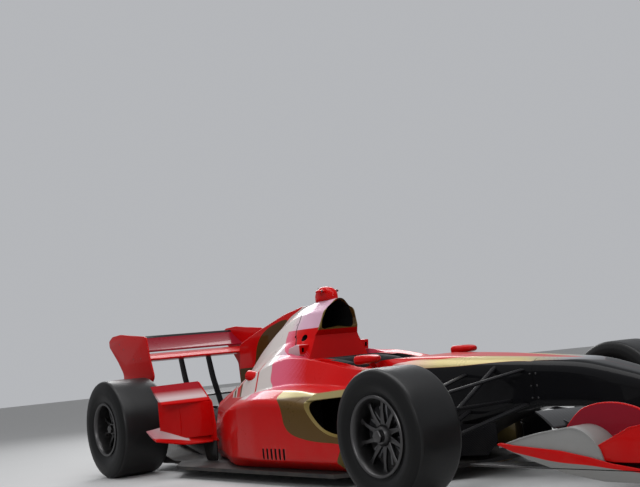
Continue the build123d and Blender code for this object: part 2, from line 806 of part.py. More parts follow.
def flip_ups(pod):
    # two stacked winglets ahead of each rear tyre, with a curved panel between them and a plate to the floor
    upper = wing_element([(455, (-1060, 462), (-1200, 586), 18, 20), (795, (-1070, 466), (-1205, 582), 18, 20)])
    lower = wing_element([(420, (-1050, 200), (-1200, 330), 14, 14), (600, (-1075, 203), (-1215, 330), 14, 14),
                          (830, (-1110, 245), (-1245, 306), 14, 10)])
    with BuildPart() as flip:
        add(upper)
        add(lower)
        with BuildSketch(Plane.XY.offset(310)):
            with BuildLine():
                ThreePointArc((-1110, 350), (-1172, 540), (-1222, 725))
                Line((-1222, 725), (-1228, 723))
                ThreePointArc((-1228, 723), (-1178, 538), (-1116, 348))
                Line((-1116, 348), (-1110, 350))
            make_face()
        extrude(amount=250)
        add(slab([(-1020, 70), (-1010, 300), (-1030, 470), (-1085, 540), (-1190, 604), (-1215, 590), (-1230, 300),
                  (-1160, 75)], 452, 460))
        add(slab([(-1062, 190), (-1052, 300), (-1062, 470), (-1110, 530), (-1205, 594), (-1222, 570), (-1222, 300)],
                 640, 648))
    above = plan_slab([(-800, 300), (-800, 900), (-1400, 900), (-1400, 300)], floor_top, 700)
    with BuildPart() as trimmed:
        add(flip.part)
        add(above, mode=Mode.INTERSECT)
    left = less(trimmed.part, pod)
    save(Compound([*left.solids(), *mirrored(left).solids()]), "rear_flip_ups")


def exhausts(pod, cover):
    with BuildPart() as pipe:
        add(tube((-600, 322, 562), (-745, 335, 592), 34))
        add(tube((-690, 330.1, 580.6), (-835, 343.1, 610.6), 30), mode=Mode.SUBTRACT)
    left = less(pipe.part, pod, cover)
    top = left.solids().sort_by(SortBy.VOLUME)[-1]
    save(Compound([top, mirrored(top)]), "exhausts")


def bargeboards():
    # curved vertical vanes between the front wheels and the sidepods
    with BuildPart() as board:
        with BuildSketch(Plane.XY.offset(floor_top)):
            with BuildLine():
                ThreePointArc((950, 262), (850, 326), (694, 490))
                Line((694, 490), (688, 485))
                ThreePointArc((688, 485), (845, 320), (947, 255))
                Line((947, 255), (950, 262))
            make_face()
        extrude(amount=260)
        add(slab([(1000, 150), (1000, 400), (600, 400), (600, 330), (820, 320)], 100, 600), mode=Mode.SUBTRACT)
    left = board.part
    save(Compound([*left.solids(), *mirrored(left).solids()]), "bargeboards")


outer = tub_outer()
tub = monocoque()
front_plane = front_wing_main()
nose = nose_cone(front_plane)
cockpit_surround()
driver_seat()
steering_wheel(tub)
front_wing_flaps(nose)
front_endplates()
steering_rack()
case = gearbox()
box = crash_box()
cover = engine_cover(case)
pod = sidepods()
mirrors(outer, pod)
camera_pod(cover)
floor_and_plank()
engine_block()
wing = rear_wing()
pylons = rear_pylons(wing, case, box)
beam_wing(pylons)
diffuser()
flip_ups(pod)
exhausts(pod, cover)
bargeboards()
front_centre = (front_axle_x, front_tyre_radius)
rear_centre = (rear_axle_x, rear_tyre_radius)
for side, tag in ((1, "left"), (-1, "right")):
    front_wishbones(outer, side)
    front_upright(side)
    tyre(front_centre, front_tyre_radius, front_tyre_face, front_tyre_width, f"front_tyre_{tag}", side)
    rim(front_centre, front_tyre_face, front_tyre_width, 868, 10, f"front_rim_{tag}", side)
    rear_upright(side)
    rear_wishbones(side, case)
    driveshaft(side, 790)
    tyre(rear_centre, rear_tyre_radius, rear_tyre_face, rear_tyre_width, f"rear_tyre_{tag}", side)
    rim(rear_centre, rear_tyre_face, rear_tyre_width, 790, 10, f"rear_rim_{tag}", side)
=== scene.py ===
from math import cos, pi, radians, sin, tan

import bmesh
import bpy
import numpy as np
from mathutils import Matrix, Vector
from mathutils.bvhtree import BVHTree


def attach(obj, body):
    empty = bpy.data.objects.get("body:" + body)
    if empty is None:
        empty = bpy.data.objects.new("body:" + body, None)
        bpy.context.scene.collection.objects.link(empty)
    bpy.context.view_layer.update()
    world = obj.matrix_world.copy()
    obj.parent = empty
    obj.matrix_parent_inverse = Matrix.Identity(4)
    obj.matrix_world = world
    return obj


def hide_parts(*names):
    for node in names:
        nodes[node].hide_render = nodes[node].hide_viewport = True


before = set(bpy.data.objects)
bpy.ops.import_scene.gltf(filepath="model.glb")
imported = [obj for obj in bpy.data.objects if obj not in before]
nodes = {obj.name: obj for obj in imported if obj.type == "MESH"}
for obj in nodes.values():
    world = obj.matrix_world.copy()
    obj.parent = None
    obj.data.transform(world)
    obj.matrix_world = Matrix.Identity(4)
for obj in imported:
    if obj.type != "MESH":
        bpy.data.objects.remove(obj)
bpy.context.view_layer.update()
scene = bpy.context.scene
mm = 0.001
print("frame loaded")


# Camera

shot = {"place": (4.6182, -3.6046, 0.643), "heading": 143.8239, "climb": 6.6741, "lean": -5.9443,
        "lens": 55.678}


def aimCamera():
    turn, climb, lean = (radians(shot[key]) for key in ("heading", "climb", "lean"))
    forward = Vector((cos(turn) * cos(climb), sin(turn) * cos(climb), sin(climb)))
    level = Vector((sin(turn), -cos(turn), 0))
    lift = level.cross(forward)
    right = cos(lean) * level + sin(lean) * lift
    above = cos(lean) * lift - sin(lean) * level
    data = bpy.data.cameras.new("trackside")
    data.lens = shot["lens"]
    data.sensor_width = 36
    data.clip_end = 200
    camera = bpy.data.objects.new("trackside", data)
    scene.collection.objects.link(camera)
    turned = Matrix((right, above, -forward)).transposed().to_4x4()
    camera.matrix_world = Matrix.Translation(shot["place"]) @ turned
    scene.camera = camera


# Nodes, for finishes and for copies of a shape

class Field:
    # a value that changes over a surface; arithmetic on it adds nodes to its own tree
    def __init__(self, socket):
        self.socket = socket
        self.tree = socket.id_data

    def math(self, operation, *others, clamp=False):
        return sums(self.tree, operation, self, *others, clamp=clamp)

    def __add__(self, other):
        return self.math("ADD", other)

    def __sub__(self, other):
        return self.math("SUBTRACT", other)

    def __rsub__(self, other):
        return sums(self.tree, "SUBTRACT", other, self)

    def __mul__(self, other):
        return self.math("MULTIPLY", other)

    def __truediv__(self, other):
        return self.math("DIVIDE", other)

    def __abs__(self):
        return self.math("ABSOLUTE")


def addNode(tree, kind, inputs=None, **settings):
    made = tree.nodes.new(kind)
    for key, value in settings.items():
        setattr(made, key, value)
    for key, value in (inputs or {}).items():
        if isinstance(value, Field):
            tree.links.new(value.socket, made.inputs[key])
        else:
            made.inputs[key].default_value = value
    return made


def fieldOf(tree, kind, inputs=None, output=0, **settings):
    return Field(addNode(tree, kind, inputs, **settings).outputs[output])


def sums(tree, operation, *values, clamp=False):
    return fieldOf(tree, "ShaderNodeMath", dict(enumerate(values)), operation=operation, use_clamp=clamp)


def emptyTree(owner):
    owner.use_nodes = True
    owner.node_tree.nodes.clear()
    return owner.node_tree


def newGroup(kind, name, inputs, outputs):
    # sockets by label: a kind of socket, or a number as a float socket's value
    tree = bpy.data.node_groups.new(name, kind)
    for way, sockets in (("INPUT", inputs), ("OUTPUT", outputs)):
        for label, value in sockets.items():
            sort = value if isinstance(value, str) else "Float"
            socket = tree.interface.new_socket(name=label, in_out=way, socket_type=f"NodeSocket{sort}")
            if sort != value:
                socket.default_value = value
    given = addNode(tree, "NodeGroupInput").outputs
    return tree, {socket.name: Field(socket) for socket in given if socket.name}


def split(place):
    return [Field(socket) for socket in addNode(place.tree, "ShaderNodeSeparateXYZ", {0: place}).outputs]


def noise(place, scale, detail=3.0, rough=0.5):
    settings = {"Vector": place, "Scale": scale, "Detail": detail, "Roughness": rough}
    return fieldOf(place.tree, "ShaderNodeTexNoise", settings, "Fac")


def ramped(value, fromLow, fromHigh, toLow=0.0, toHigh=1.0):
    settings = {"Value": value, "From Min": fromLow, "From Max": fromHigh, "To Min": toLow, "To Max": toHigh}
    return fieldOf(value.tree, "ShaderNodeMapRange", settings, clamp=True)


def mixed(amount, under, over):
    under, over = (value if isinstance(value, Field) else (*value, 1) for value in (under, over))
    return fieldOf(amount.tree, "ShaderNodeMix", {0: amount, 6: under, 7: over}, 2, data_type="RGBA")


# Floor, backdrop and light

studio = {
    "backdrop": (0.46, 0.47, 0.49),
    "ambient": 0.36,
    "floor": (0.50, 0.505, 0.51),
    "reach": 40, "sides": 64,
    "lamps": [  # name, place, aim, width, depth, power
        ("softboxAbove", (0.2, -0.6, 5.0), (0, 0, 0.4), 7.0, 3.4, 215),
        ("softboxNear", (4.6, -6.0, 3.6), (0.2, 0, 0.5), 3.4, 1.6, 130),
        ("softboxRear", (-5.4, 2.6, 3.7), (-1.6, -0.3, 0.7), 4.2, 1.8, 145),
    ],
}


def seenDirectly(tree):
    # 1 where the camera, a mirror-like surface or glass looks straight at it
    path = addNode(tree, "ShaderNodeLightPath").outputs
    camera, gloss, glass = (Field(path[f"Is {kind} Ray"]) for kind in ("Camera", "Glossy", "Transmission"))
    return camera.math("MAXIMUM", gloss).math("MAXIMUM", glass)


def lightStudio():
    scene.world = bpy.data.worlds.new("studio")
    tree = emptyTree(scene.world)
    lit = fieldOf(tree, "ShaderNodeBackground", {"Color": (1, 1, 1, 1), "Strength": studio["ambient"]})
    shown = fieldOf(tree, "ShaderNodeBackground", {"Color": (*studio["backdrop"], 1), "Strength": 1.0})
    either = fieldOf(tree, "ShaderNodeMixShader", {0: seenDirectly(tree), 1: lit, 2: shown})
    addNode(tree, "ShaderNodeOutputWorld", {"Surface": either})
    for name, place, aim, width, depth, power in studio["lamps"]:
        data = bpy.data.lights.new(name, "AREA")
        data.shape = "RECTANGLE"
        data.size, data.size_y, data.energy = width, depth, power
        lamp = bpy.data.objects.new(name, data)
        scene.collection.objects.link(lamp)
        lamp.location = place
        lamp.rotation_euler = (Vector(aim) - Vector(place)).to_track_quat("-Z", "Y").to_euler()
    scene.view_settings.view_transform = "Standard"


def layFloor():
    made = bpy.data.materials.new("floorPale")
    tree = emptyTree(made)
    place = fieldOf(tree, "ShaderNodeTexCoord", output="Object")
    tone = mixed(noise(place, 3.0, 5.0), tuple(c * 0.97 for c in studio["floor"]), studio["floor"])
    surface = fieldOf(tree, "ShaderNodeBsdfPrincipled", {"Base Color": tone, "Roughness": 0.65})
    addNode(tree, "ShaderNodeOutputMaterial", {"Surface": surface})
    reach, sides = studio["reach"], studio["sides"]
    mesh = bpy.data.meshes.new("studioFloor")
    edge = [(reach * cos(a), reach * sin(a), -0.5 * mm) for a in around(sides)]
    mesh.from_pydata(edge, [], [list(range(sides))])
    mesh.materials.append(made)
    floor = bpy.data.objects.new("studioFloor", mesh)
    scene.collection.objects.link(floor)


def around(steps):
    return np.linspace(0, 2 * pi, steps + 1)[:-1].tolist()


aimCamera()
lightStudio()
layFloor()
print("studio lit")


# Shader groups shared by the finishes

def grainGroup():
    # fine surface grain with slow drifts of shade over it
    tree, given = newGroup("ShaderNodeTree", "grain", {"Place": "Vector", "Scale": 400.0},
                           {"Height": "Float", "Drift": "Float"})
    place = given["Place"]
    drift = noise(place, 5.0) * 0.7 + noise(place, 60.0, 2.0) * 0.3
    addNode(tree, "NodeGroupOutput", {"Height": noise(place, given["Scale"], 4.0, 0.6), "Drift": drift})
    return tree


def grimeGroup():
    # road dust that thins out with height and gathers in patches
    inputs = {"Place": "Vector", "Low": 0.05, "High": 0.4, "Strength": 0.5}
    tree, given = newGroup("ShaderNodeTree", "grime", inputs, {"Amount": "Float"})
    place = given["Place"]
    fall = ramped(split(place)[2], given["High"], given["Low"])
    patch = ramped(noise(place, 14.0, 6.0, 0.65), 0.35, 0.75)
    streak = fieldOf(tree, "ShaderNodeMapping", {"Vector": place, "Scale": (3.0, 30.0, 60.0)})
    wiped = ramped(noise(streak, 1.0), 0.3, 0.7, 0.55, 1.0)
    addNode(tree, "NodeGroupOutput", {"Amount": fall * patch * (wiped * given["Strength"])})
    return tree


def weaveGroup():
    # 2 by 2 twill cloth: bundles pass over and under, each step shifted by one
    tree, given = newGroup("ShaderNodeTree", "weave", {"Place": "Vector", "Cell": 0.004},
                           {"Warp": "Float", "Height": "Float"})
    x, y, z = split(given["Place"])
    across = (y + z * 0.83) / given["Cell"]
    along = (x + z * 0.55) / given["Cell"]
    step = across.math("FLOOR") + along.math("FLOOR")
    warp = (step + 4000.0).math("MODULO", 4.0).math("LESS_THAN", 1.5)
    over, under = (abs((run * pi).math("SINE")) for run in (across, along))
    addNode(tree, "NodeGroupOutput", {"Warp": warp, "Height": over * warp + under * (1.0 - warp)})
    return tree


groups = {"grain": grainGroup(), "grime": grimeGroup(), "weave": weaveGroup()}


def placed(place, name, **values):
    # a shared group's outputs by label
    made = addNode(place.tree, "ShaderNodeGroup", {"Place": place, **values}, node_tree=groups[name])
    return {socket.name: Field(socket) for socket in made.outputs}


def finish(name, colour, rough=0.5, metal=0.0, coat=0.0, grain=400.0, depth=0.02, drift=0.12, dirt=None,
           weave=None, layers=None, sheen=0.0, coatIor=1.5, roughSpread=0.08, specular=0.5):
    # one surface finish: base colour with drifting shade, layers of paint, dust, and fine relief
    made = bpy.data.materials.new(name)
    tree = emptyTree(made)
    place = fieldOf(tree, "ShaderNodeTexCoord", output="Object")
    fine = placed(place, "grain", Scale=grain)
    shaded = tuple(c * (1 - drift) for c in colour)
    lifted = tuple(min(1.0, c * (1 + drift) + 0.004 * drift) for c in colour)
    tone = mixed(fine["Drift"], shaded, lifted)
    roughness = ramped(fine["Drift"], 0.25, 0.75, max(0.02, rough - roughSpread), rough + roughSpread)
    height = fine["Height"]
    if weave:
        cloth = placed(place, "weave", Cell=weave)
        tone = mixed(cloth["Warp"] * 0.55, tone, tuple(c * 2.6 + 0.004 for c in colour))
        height = height * 0.3 + cloth["Height"]
    if layers:
        x, y, z = split(place)
        tone, roughness, metal, height = layers((x, abs(y), z), tone, roughness, height)
    if dirt:
        low, high, strength, film = dirt
        amount = placed(place, "grime", Low=low, High=high, Strength=strength)["Amount"]
        tone = mixed(amount, tone, film)
        roughness = roughness.math("ADD", amount * 0.45, clamp=True)
    bump = fieldOf(tree, "ShaderNodeBump", {"Height": height, "Strength": 1.0, "Distance": depth * mm})
    surface = fieldOf(tree, "ShaderNodeBsdfPrincipled", {
        "Base Color": tone, "Roughness": roughness, "Metallic": metal, "Normal": bump, "Coat Weight": coat,
        "Coat Roughness": 0.03, "Coat IOR": coatIor, "Specular IOR Level": specular, "Sheen Weight": sheen})
    addNode(tree, "ShaderNodeOutputMaterial", {"Surface": surface})
    return made


# Livery. Masks are 0 or 1 with a soft edge, and a line is a table of (along, value) points in millimetres

def lineAt(along, points):
    (lowX, highX), (lowY, highY) = ((min(column), max(column)) for column in zip(*points))
    curve = addNode(along.tree, "ShaderNodeFloatCurve", {"Value": ramped(along, lowX * mm, highX * mm)})
    line = curve.mapping.curves[0]
    spots = [((x - lowX) / (highX - lowX), (y - lowY) / (highY - lowY)) for x, y in sorted(points)]
    line.points[0].location = spots[0]
    line.points[1].location = spots[-1]
    for spot in spots[1:-1]:
        line.points.new(*spot)
    for point in line.points:
        point.handle_type = "AUTO_CLAMPED"
    curve.mapping.update()
    return ramped(Field(curve.outputs[0]), 0.0, 1.0, lowY * mm, highY * mm)


def between(value, low, high):
    # climbs from 0 at one place to 1 at the other
    return ramped(value, low * mm, high * mm)


def past(value, limit, soft=1.2):
    gap = value - (limit if isinstance(limit, Field) else limit * mm)
    return between(gap, -soft, soft)


def below(value, limit, soft=1.2):
    return 1.0 - past(value, limit, soft)


red = (0.46, 0.002, 0.002)
# painted shade: a darker copy of the red paint, worn by the rear flap and by the front endplates' flat faces
crimson = (0.20, 0.006, 0.016)
# painted shade on the top of the upper winglet
shadeDeepRed = (0.27, 0.006, 0.012)
pearl = (0.52, 0.475, 0.46)
lilac = (0.54, 0.34, 0.44)
rose = (0.58, 0.10, 0.17)
# painted highlight: the rosy-white front end of the nose's band
highlightBlush = (0.50, 0.30, 0.29)
gold = (0.090, 0.047, 0.007)
bronze = (0.055, 0.026, 0.005)
paleGold = (0.16, 0.12, 0.035)
cream = (0.50, 0.42, 0.20)
chalk = (0.20, 0.20, 0.195)
# painted reflection: a grey sky reflection on the nose's black
reflectionSlate = (0.26, 0.27, 0.29)
ink = (0.006, 0.006, 0.007)
jet = (0.002, 0.002, 0.002)
# painted highlight: the pale band on the upper winglet
highlightBlossom = (0.52, 0.40, 0.41)
paleFoot = (0.56, 0.45, 0.46)
dimFoot = (0.36, 0.14, 0.16)
lampDark = (0.30, 0.004, 0.004)
lampBright = (0.62, 0.02, 0.02)
dust = (0.16, 0.13, 0.10)
soot = (0.10, 0.09, 0.085)

livery = {
    # engine cover and fin, side view: the sweep's upper edge and front edge, and the crescent above it
    "sweepTop": [(-1440, 470), (-1290, 585), (-1180, 660), (-1085, 725), (-1000, 775), (-900, 825),
                 (-814, 872), (-708, 931), (-549, 990), (-500, 1040), (-160, 1060)],
    "sweepFront": [(640, -380), (676, -381), (725, -448), (787, -528), (837, -551)],
    "patchTop": 837, "coverFade": 145, "lilacRun": (-540, -400), "crescentEnd": -745,
    "mouthEdge": [(815, -216), (836, -205), (1012, -166), (1100, -158)],
    "crescent": [(-1200, 640), (-1171, 700), (-1140, 780), (-1080, 842), (-990, 885), (-900, 908),
                 (-768, 926), (-700, 905)],
    # the gold edge of the inlet, and the panel joint behind it (z, x)
    "rimWide": 13, "rimFrom": 822, "jointFrom": 700, "groove": 12.0,
    "coverJoint": [(690, -330), (760, -372), (840, -438), (913, -458), (989, -512), (1030, -530)],
    # half tone dots: cell in metres, largest radius and soft edge as shares of a cell
    "dots": (0.013, 0.72, 0.05),
    # sidepod: front edge of the pale sweep (z, x), the gold band's rear edge (z, x), stripes along the tail
    "podSweep": [(440, -300), (515, -353), (559, -405), (608, -425), (660, -450)],
    "bandRear": [(180, 700), (222, 640), (233, 464), (247, 329), (279, 204), (320, 157), (379, 141),
                 (431, 120), (473, 60), (495, 57), (520, 180)],
    "podFade": 380, "podShoulder": 462, "podSweepEnd": -985, "stripeLean": (0.35, 520),
    "tailStripes": [(-586, -566, red), (-842, -812, gold), (-905, -842, red), (-960, -925, gold),
                    (-3000, -985, red)],
    # nose: half width of the red spear (x, y), the gold band's lower edge (x, z) and outer edge (x, y)
    "bandStart": 566, "coneJoint": 1440,
    # the band's colours along the nose, from x to x: cream, then grey as a painted reflection on the black,
    # then black
    "bandShades": [(620, 850, cream), (1350, 1600, reflectionSlate), (1600, 1780, ink)],
    "spear": [(560, 262), (632, 222), (713, 190), (841, 172), (973, 142), (1146, 100), (1344, 62), (1538, 28),
              (1660, -3), (2470, -6)],
    "bandLow": [(480, 400), (560, 470), (640, 525), (715, 547), (819, 545), (1005, 542), (1196, 545),
                (1431, 536), (1603, 500), (2470, 100)],
    "bandOuter": [(480, 300), (1196, 300), (1431, 132), (1603, 104), (1703, 50), (1760, 0), (2470, 0)],
    # the gold band's bottom, top and inner edge, and the notch in it: above this z, inboard of this y
    "podBand": (205, 497, 372), "podNotch": (455, 604),
    # winglets: the height of the painted highlight band on the upper one, the pale part's edge on the lower
    # one (y, z), where that part begins (y), where its shade changes (y), and the dark foot of the plates
    # between
    "wingletBand": (484, 524), "footEdge": [(600, 221), (700, 242), (830, 262)],
    "footFrom": 606, "footShade": (690, 820), "plateFoot": 205,
    # where the scoop turns red (x) and the mouth of the pod pale (z), the rain light's lens (x, z)
    "scoopFrom": -272, "mouthFrom": 436, "rainLens": (-2306.5, 309),
    # front wing's outer strip: the blade's lower edge (x, z)
    "stripLow": [(1757, 226), (1917, 198), (2064, 177), (2203, 169), (2300, 160), (2440, 148)],
}


def screenDots(x, z, fade):
    # a printed half tone: dots that shrink as the fade goes from 0 to 1
    cell, largest, soft = livery["dots"]
    u, v = ((run / cell + 500.0).math("FRACT") - 0.5 for run in (x + z, x - z))
    size = sums(fade.tree, "SUBTRACT", 1.0, fade, clamp=True).math("SQRT") * largest
    return ramped(size - (u * u + v * v).math("SQRT"), -soft, soft)


def coverLayers(place, tone, roughness, height):
    x, y, z = place
    sweep = below(z, lineAt(x, livery["sweepTop"]))
    front = lineAt(z, livery["sweepFront"])
    redPatch = below(z, livery["patchTop"]) * past(x, front, 6)
    dots = screenDots(x, z, between(x - front, 0, livery["coverFade"]))
    crescent = below(z, lineAt(x, livery["crescent"])) * (1.0 - sweep) * below(x, livery["crescentEnd"])
    painted = mixed(crescent, tone, bronze)
    painted = mixed(sweep * (1.0 - redPatch), painted, mixed(between(x, *livery["lilacRun"]), pearl, lilac))
    painted = mixed(redPatch * dots, painted, rose)
    # the gold edge round the inlet, and the panel joint behind it
    rim = lineAt(z, livery["mouthEdge"]) - livery["rimWide"] * mm
    painted = mixed(past(x, rim) * past(z, livery["rimFrom"]), painted, paleGold)
    seam = between(abs(x - lineAt(z, livery["coverJoint"])), 5.8, 4.0) * past(z, livery["jointFrom"])
    return mixed(seam, painted, ink), roughness, 0.0, height - seam * livery["groove"]


def podLayers(place, tone, roughness, height):
    x, y, z = place
    front = lineAt(z, livery["podSweep"])
    upper = past(z, livery["podShoulder"], 5)
    ahead = past(x, front, 5)
    dots = screenDots(x, z, between(x - front, 0, livery["podFade"]))
    painted = mixed(upper * (1.0 - ahead) * past(x, livery["podSweepEnd"]), tone, pearl)
    painted = mixed(upper * ahead * dots, painted, rose)
    lean, level = livery["stripeLean"]
    along = x + z * lean
    for low, high, colour in livery["tailStripes"]:
        inside = past(along, low + lean * level) * below(along, high + lean * level)
        painted = mixed(inside * upper, painted, colour)
    bottom, top, inner = livery["podBand"]
    floor, outer = livery["podNotch"]
    band = past(x, lineAt(z, livery["bandRear"])) * past(z, bottom, 3) * below(z, top) * past(y, inner)
    band = band * (1.0 - past(z, floor) * below(y, outer, 4))
    painted = mixed(band, painted, gold)
    return mixed(band * upper, painted, cream), roughness, band * 0.3, height


def noseLayers(place, tone, roughness, height):
    x, y, z = place
    forward = past(x, livery["bandStart"])
    outside = past(y, lineAt(x, livery["spear"]))
    low = below(z, lineAt(x, livery["bandLow"]))
    black = forward * low.math("MAXIMUM", past(y, lineAt(x, livery["bandOuter"])))
    band = forward * outside * (1.0 - black)
    # the band starts as a painted rosy highlight, turns cream, then grey as a painted reflection, then black
    shade = highlightBlush
    for start, end, colour in livery["bandShades"]:
        shade = mixed(between(x, start, end), shade, colour)
    painted = mixed(black, mixed(band, tone, shade), ink)
    seam = between(abs(x - livery["coneJoint"] * mm), 2.2, 1.0)
    painted = mixed(seam, painted, jet)
    return painted, roughness, band * 0.25, height - seam * livery["groove"]


def stripLayers(place, tone, roughness, height):
    # the outer strip is a red blade above and pale below
    return mixed(below(place[2], lineAt(place[0], livery["stripLow"])), tone, chalk), roughness, 0.0, height


def flipLayers(place, tone, roughness, height):
    return mixed(below(place[2], livery["plateFoot"], 2), tone, ink), roughness, 0.0, height


def wingletShadeAndHighlight(place, tone, roughness, height):
    # painted shade darkens the upper winglet towards its trailing edge, and a painted highlight makes the
    # pale band low on it
    low, high = livery["wingletBand"]
    above = past(place[2], low, 3)
    band = above * below(place[2], high, 22)
    return mixed(band, mixed(above, tone, shadeDeepRed), highlightBlossom), roughness, 0.0, height


def footLayers(place, tone, roughness, height):
    # the lower winglet is pale towards its tip, with a red leading edge
    x, y, z = place
    pale = past(y, livery["footFrom"], 5) * past(z, lineAt(y, livery["footEdge"]), 3)
    shade = mixed(between(y, *livery["footShade"]), paleFoot, dimFoot)
    return mixed(pale, tone, shade), roughness, 0.0, height


def scoopLayers(place, tone, roughness, height):
    return mixed(past(place[0], livery["scoopFrom"], 2), tone, red), roughness, 0.0, height


def mouthLayers(place, tone, roughness, height):
    return mixed(past(place[2], livery["mouthFrom"], 5), tone, cream), roughness, 0.0, height


def finLayers(place, tone, roughness, height):
    # fine upright cooling fins, with painted shade in the dark gaps between them
    fins = abs((place[1] * 900.0).math("SINE"))
    return mixed(fins, (0.01, 0.01, 0.01), tone), roughness, 0.8, fins * 8.0


def crashLayers(place, tone, roughness, height):
    # the rain light's lens on the end of the crash structure
    x, y, z = place
    face, bottom = livery["rainLens"]
    lens = below(x, face, 0.4) * past(z, bottom, 0.4)
    glow = mixed(abs((z * 700.0).math("SINE")), lampDark, lampBright)
    return mixed(lens, tone, glow), ramped(lens, 0.0, 1.0, 0.4, 0.12), 0.0, height


paintSet = dict(rough=0.30, coat=0.28, coatIor=1.38, grain=900.0, depth=0.006, drift=0.07, roughSpread=0.05,
                specular=0.03, dirt=(0.03, 0.34, 0.2, dust))
paints = {  # ground colour, and what is painted over it
    "redPaint": (red, None), "coverPaint": (red, coverLayers), "podPaint": (red, podLayers),
    "nosePaint": (red, noseLayers), "stripPaint": (red, stripLayers), "flipPaint": (red, flipLayers),
    "wingletPaint": (red, wingletShadeAndHighlight), "footPaint": (red, footLayers), "crimson": (crimson, None),
    "scoopPaint": ((0.52, 0.34, 0.37), scoopLayers), "lipPaint": (cream, None),
    "mouthPaint": ((0.15, 0.11, 0.035), mouthLayers),
}
finishes = {
    "goldEdge": dict(colour=gold, rough=0.36, metal=0.35, coat=0.4, depth=0.006, specular=0.3),
    "whitePaint": dict(colour=chalk, rough=0.38, coat=0.4, depth=0.008, drift=0.1,
                       dirt=(0.05, 0.3, 0.5, dust)),
    "weaveGloss": dict(colour=(0.007, 0.007, 0.008), rough=0.34, coat=0.5, weave=0.0045, depth=0.03,
                       specular=0.3, dirt=(0.03, 0.3, 0.30, dust)),
    "weaveMatt": dict(colour=(0.008, 0.008, 0.009), rough=0.55, weave=0.0045, depth=0.04, specular=0.25,
                      dirt=(0.03, 0.3, 0.35, dust)),
    # near-black lining of ducts, slots and holes: partly the carbon's own black, partly painted shade inside
    # the openings
    "ductBlack": dict(colour=(0.004, 0.004, 0.004), rough=0.8, weave=0.0045, depth=0.02, specular=0.08),
    "tread": dict(colour=(0.006, 0.006, 0.0065), rough=0.38, grain=700.0, depth=0.10, drift=0.25,
                  specular=0.28, dirt=(0.0, 0.9, 0.04, soot)),
    "armBlack": dict(colour=(0.006, 0.006, 0.007), rough=0.42, weave=0.0045, depth=0.02, specular=0.05,
                     dirt=(0.03, 0.5, 0.05, dust)),
    "rubber": dict(colour=(0.0045, 0.0045, 0.0048), rough=0.50, grain=500.0, depth=0.05, drift=0.2,
                   specular=0.16, dirt=(0.0, 0.9, 0.02, soot)),
    "darkAlloy": dict(colour=(0.085, 0.083, 0.084), rough=0.36, metal=1.0, depth=0.01, drift=0.15,
                      dirt=(0.0, 0.9, 0.30, (0.03, 0.027, 0.025))),
    "castAlloy": dict(colour=(0.30, 0.30, 0.31), rough=0.5, metal=1.0, grain=260.0, depth=0.08, drift=0.2,
                      dirt=(0.05, 0.5, 0.5, (0.05, 0.04, 0.035))),
    "steel": dict(colour=(0.42, 0.40, 0.38), rough=0.32, metal=1.0, depth=0.01, drift=0.15),
    "grip": dict(colour=(0.014, 0.014, 0.014), rough=0.65, grain=500.0, depth=0.10, specular=0.3),
    "webbing": dict(colour=(0.30, 0.010, 0.010), rough=0.75, weave=0.0016, depth=0.10, specular=0.2,
                    sheen=0.2),
    "plank": dict(colour=(0.16, 0.10, 0.05), rough=0.6, grain=300.0, depth=0.1, drift=0.3),
    "core": dict(colour=(0.06, 0.06, 0.065), rough=0.5, metal=0.8, grain=300.0, depth=0.06, layers=finLayers),
    "padCloth": dict(colour=(0.012, 0.012, 0.013), rough=0.85, grain=1200.0, depth=0.06, sheen=0.15,
                     weave=0.0016, specular=0.2),
    "mirrorGlass": dict(colour=(0.75, 0.77, 0.80), rough=0.04, metal=1.0, depth=0.0, drift=0.02,
                        roughSpread=0.01),
    "lensBlack": dict(colour=(0.01, 0.01, 0.012), rough=0.08, coat=1.0, depth=0.0, roughSpread=0.01),
    "crashPaint": dict(colour=(0.007, 0.007, 0.008), rough=0.34, coat=0.5, weave=0.0045, depth=0.03,
                       specular=0.3, layers=crashLayers),
}
looks = {name: finish(name, colour, layers=layers, **paintSet) for name, (colour, layers) in paints.items()}
looks.update({name: finish(name, **settings) for name, settings in finishes.items()})
print("finishes made")


# Mesh helpers

def eased(rows, stations):
    # reads a table between its lines along a smooth curve that never overshoots; column 0 is the station
    rows = sorted(rows)
    at = np.array([row[0] for row in rows], float)
    value = np.array([row[1:] for row in rows], float)
    gap = np.diff(at)[:, None]
    rise = np.diff(value, axis=0) / gap
    slope = np.zeros_like(value)
    slope[0], slope[-1] = rise[0], rise[-1]
    same = rise[:-1] * rise[1:] > 0
    slope[1:-1] = np.where(same, 2 * rise[:-1] * rise[1:] / np.where(same, rise[:-1] + rise[1:], 1), 0)
    out = []
    for s in stations:
        i = int(np.clip(np.searchsorted(at, s) - 1, 0, len(at) - 2))
        h = at[i + 1] - at[i]
        t = (s - at[i]) / h
        out.append((2 * t**3 - 3 * t**2 + 1) * value[i] + (t**3 - 2 * t**2 + t) * h * slope[i]
                   + (3 * t**2 - 2 * t**3) * value[i + 1] + (t**3 - t**2) * h * slope[i + 1])
    return out


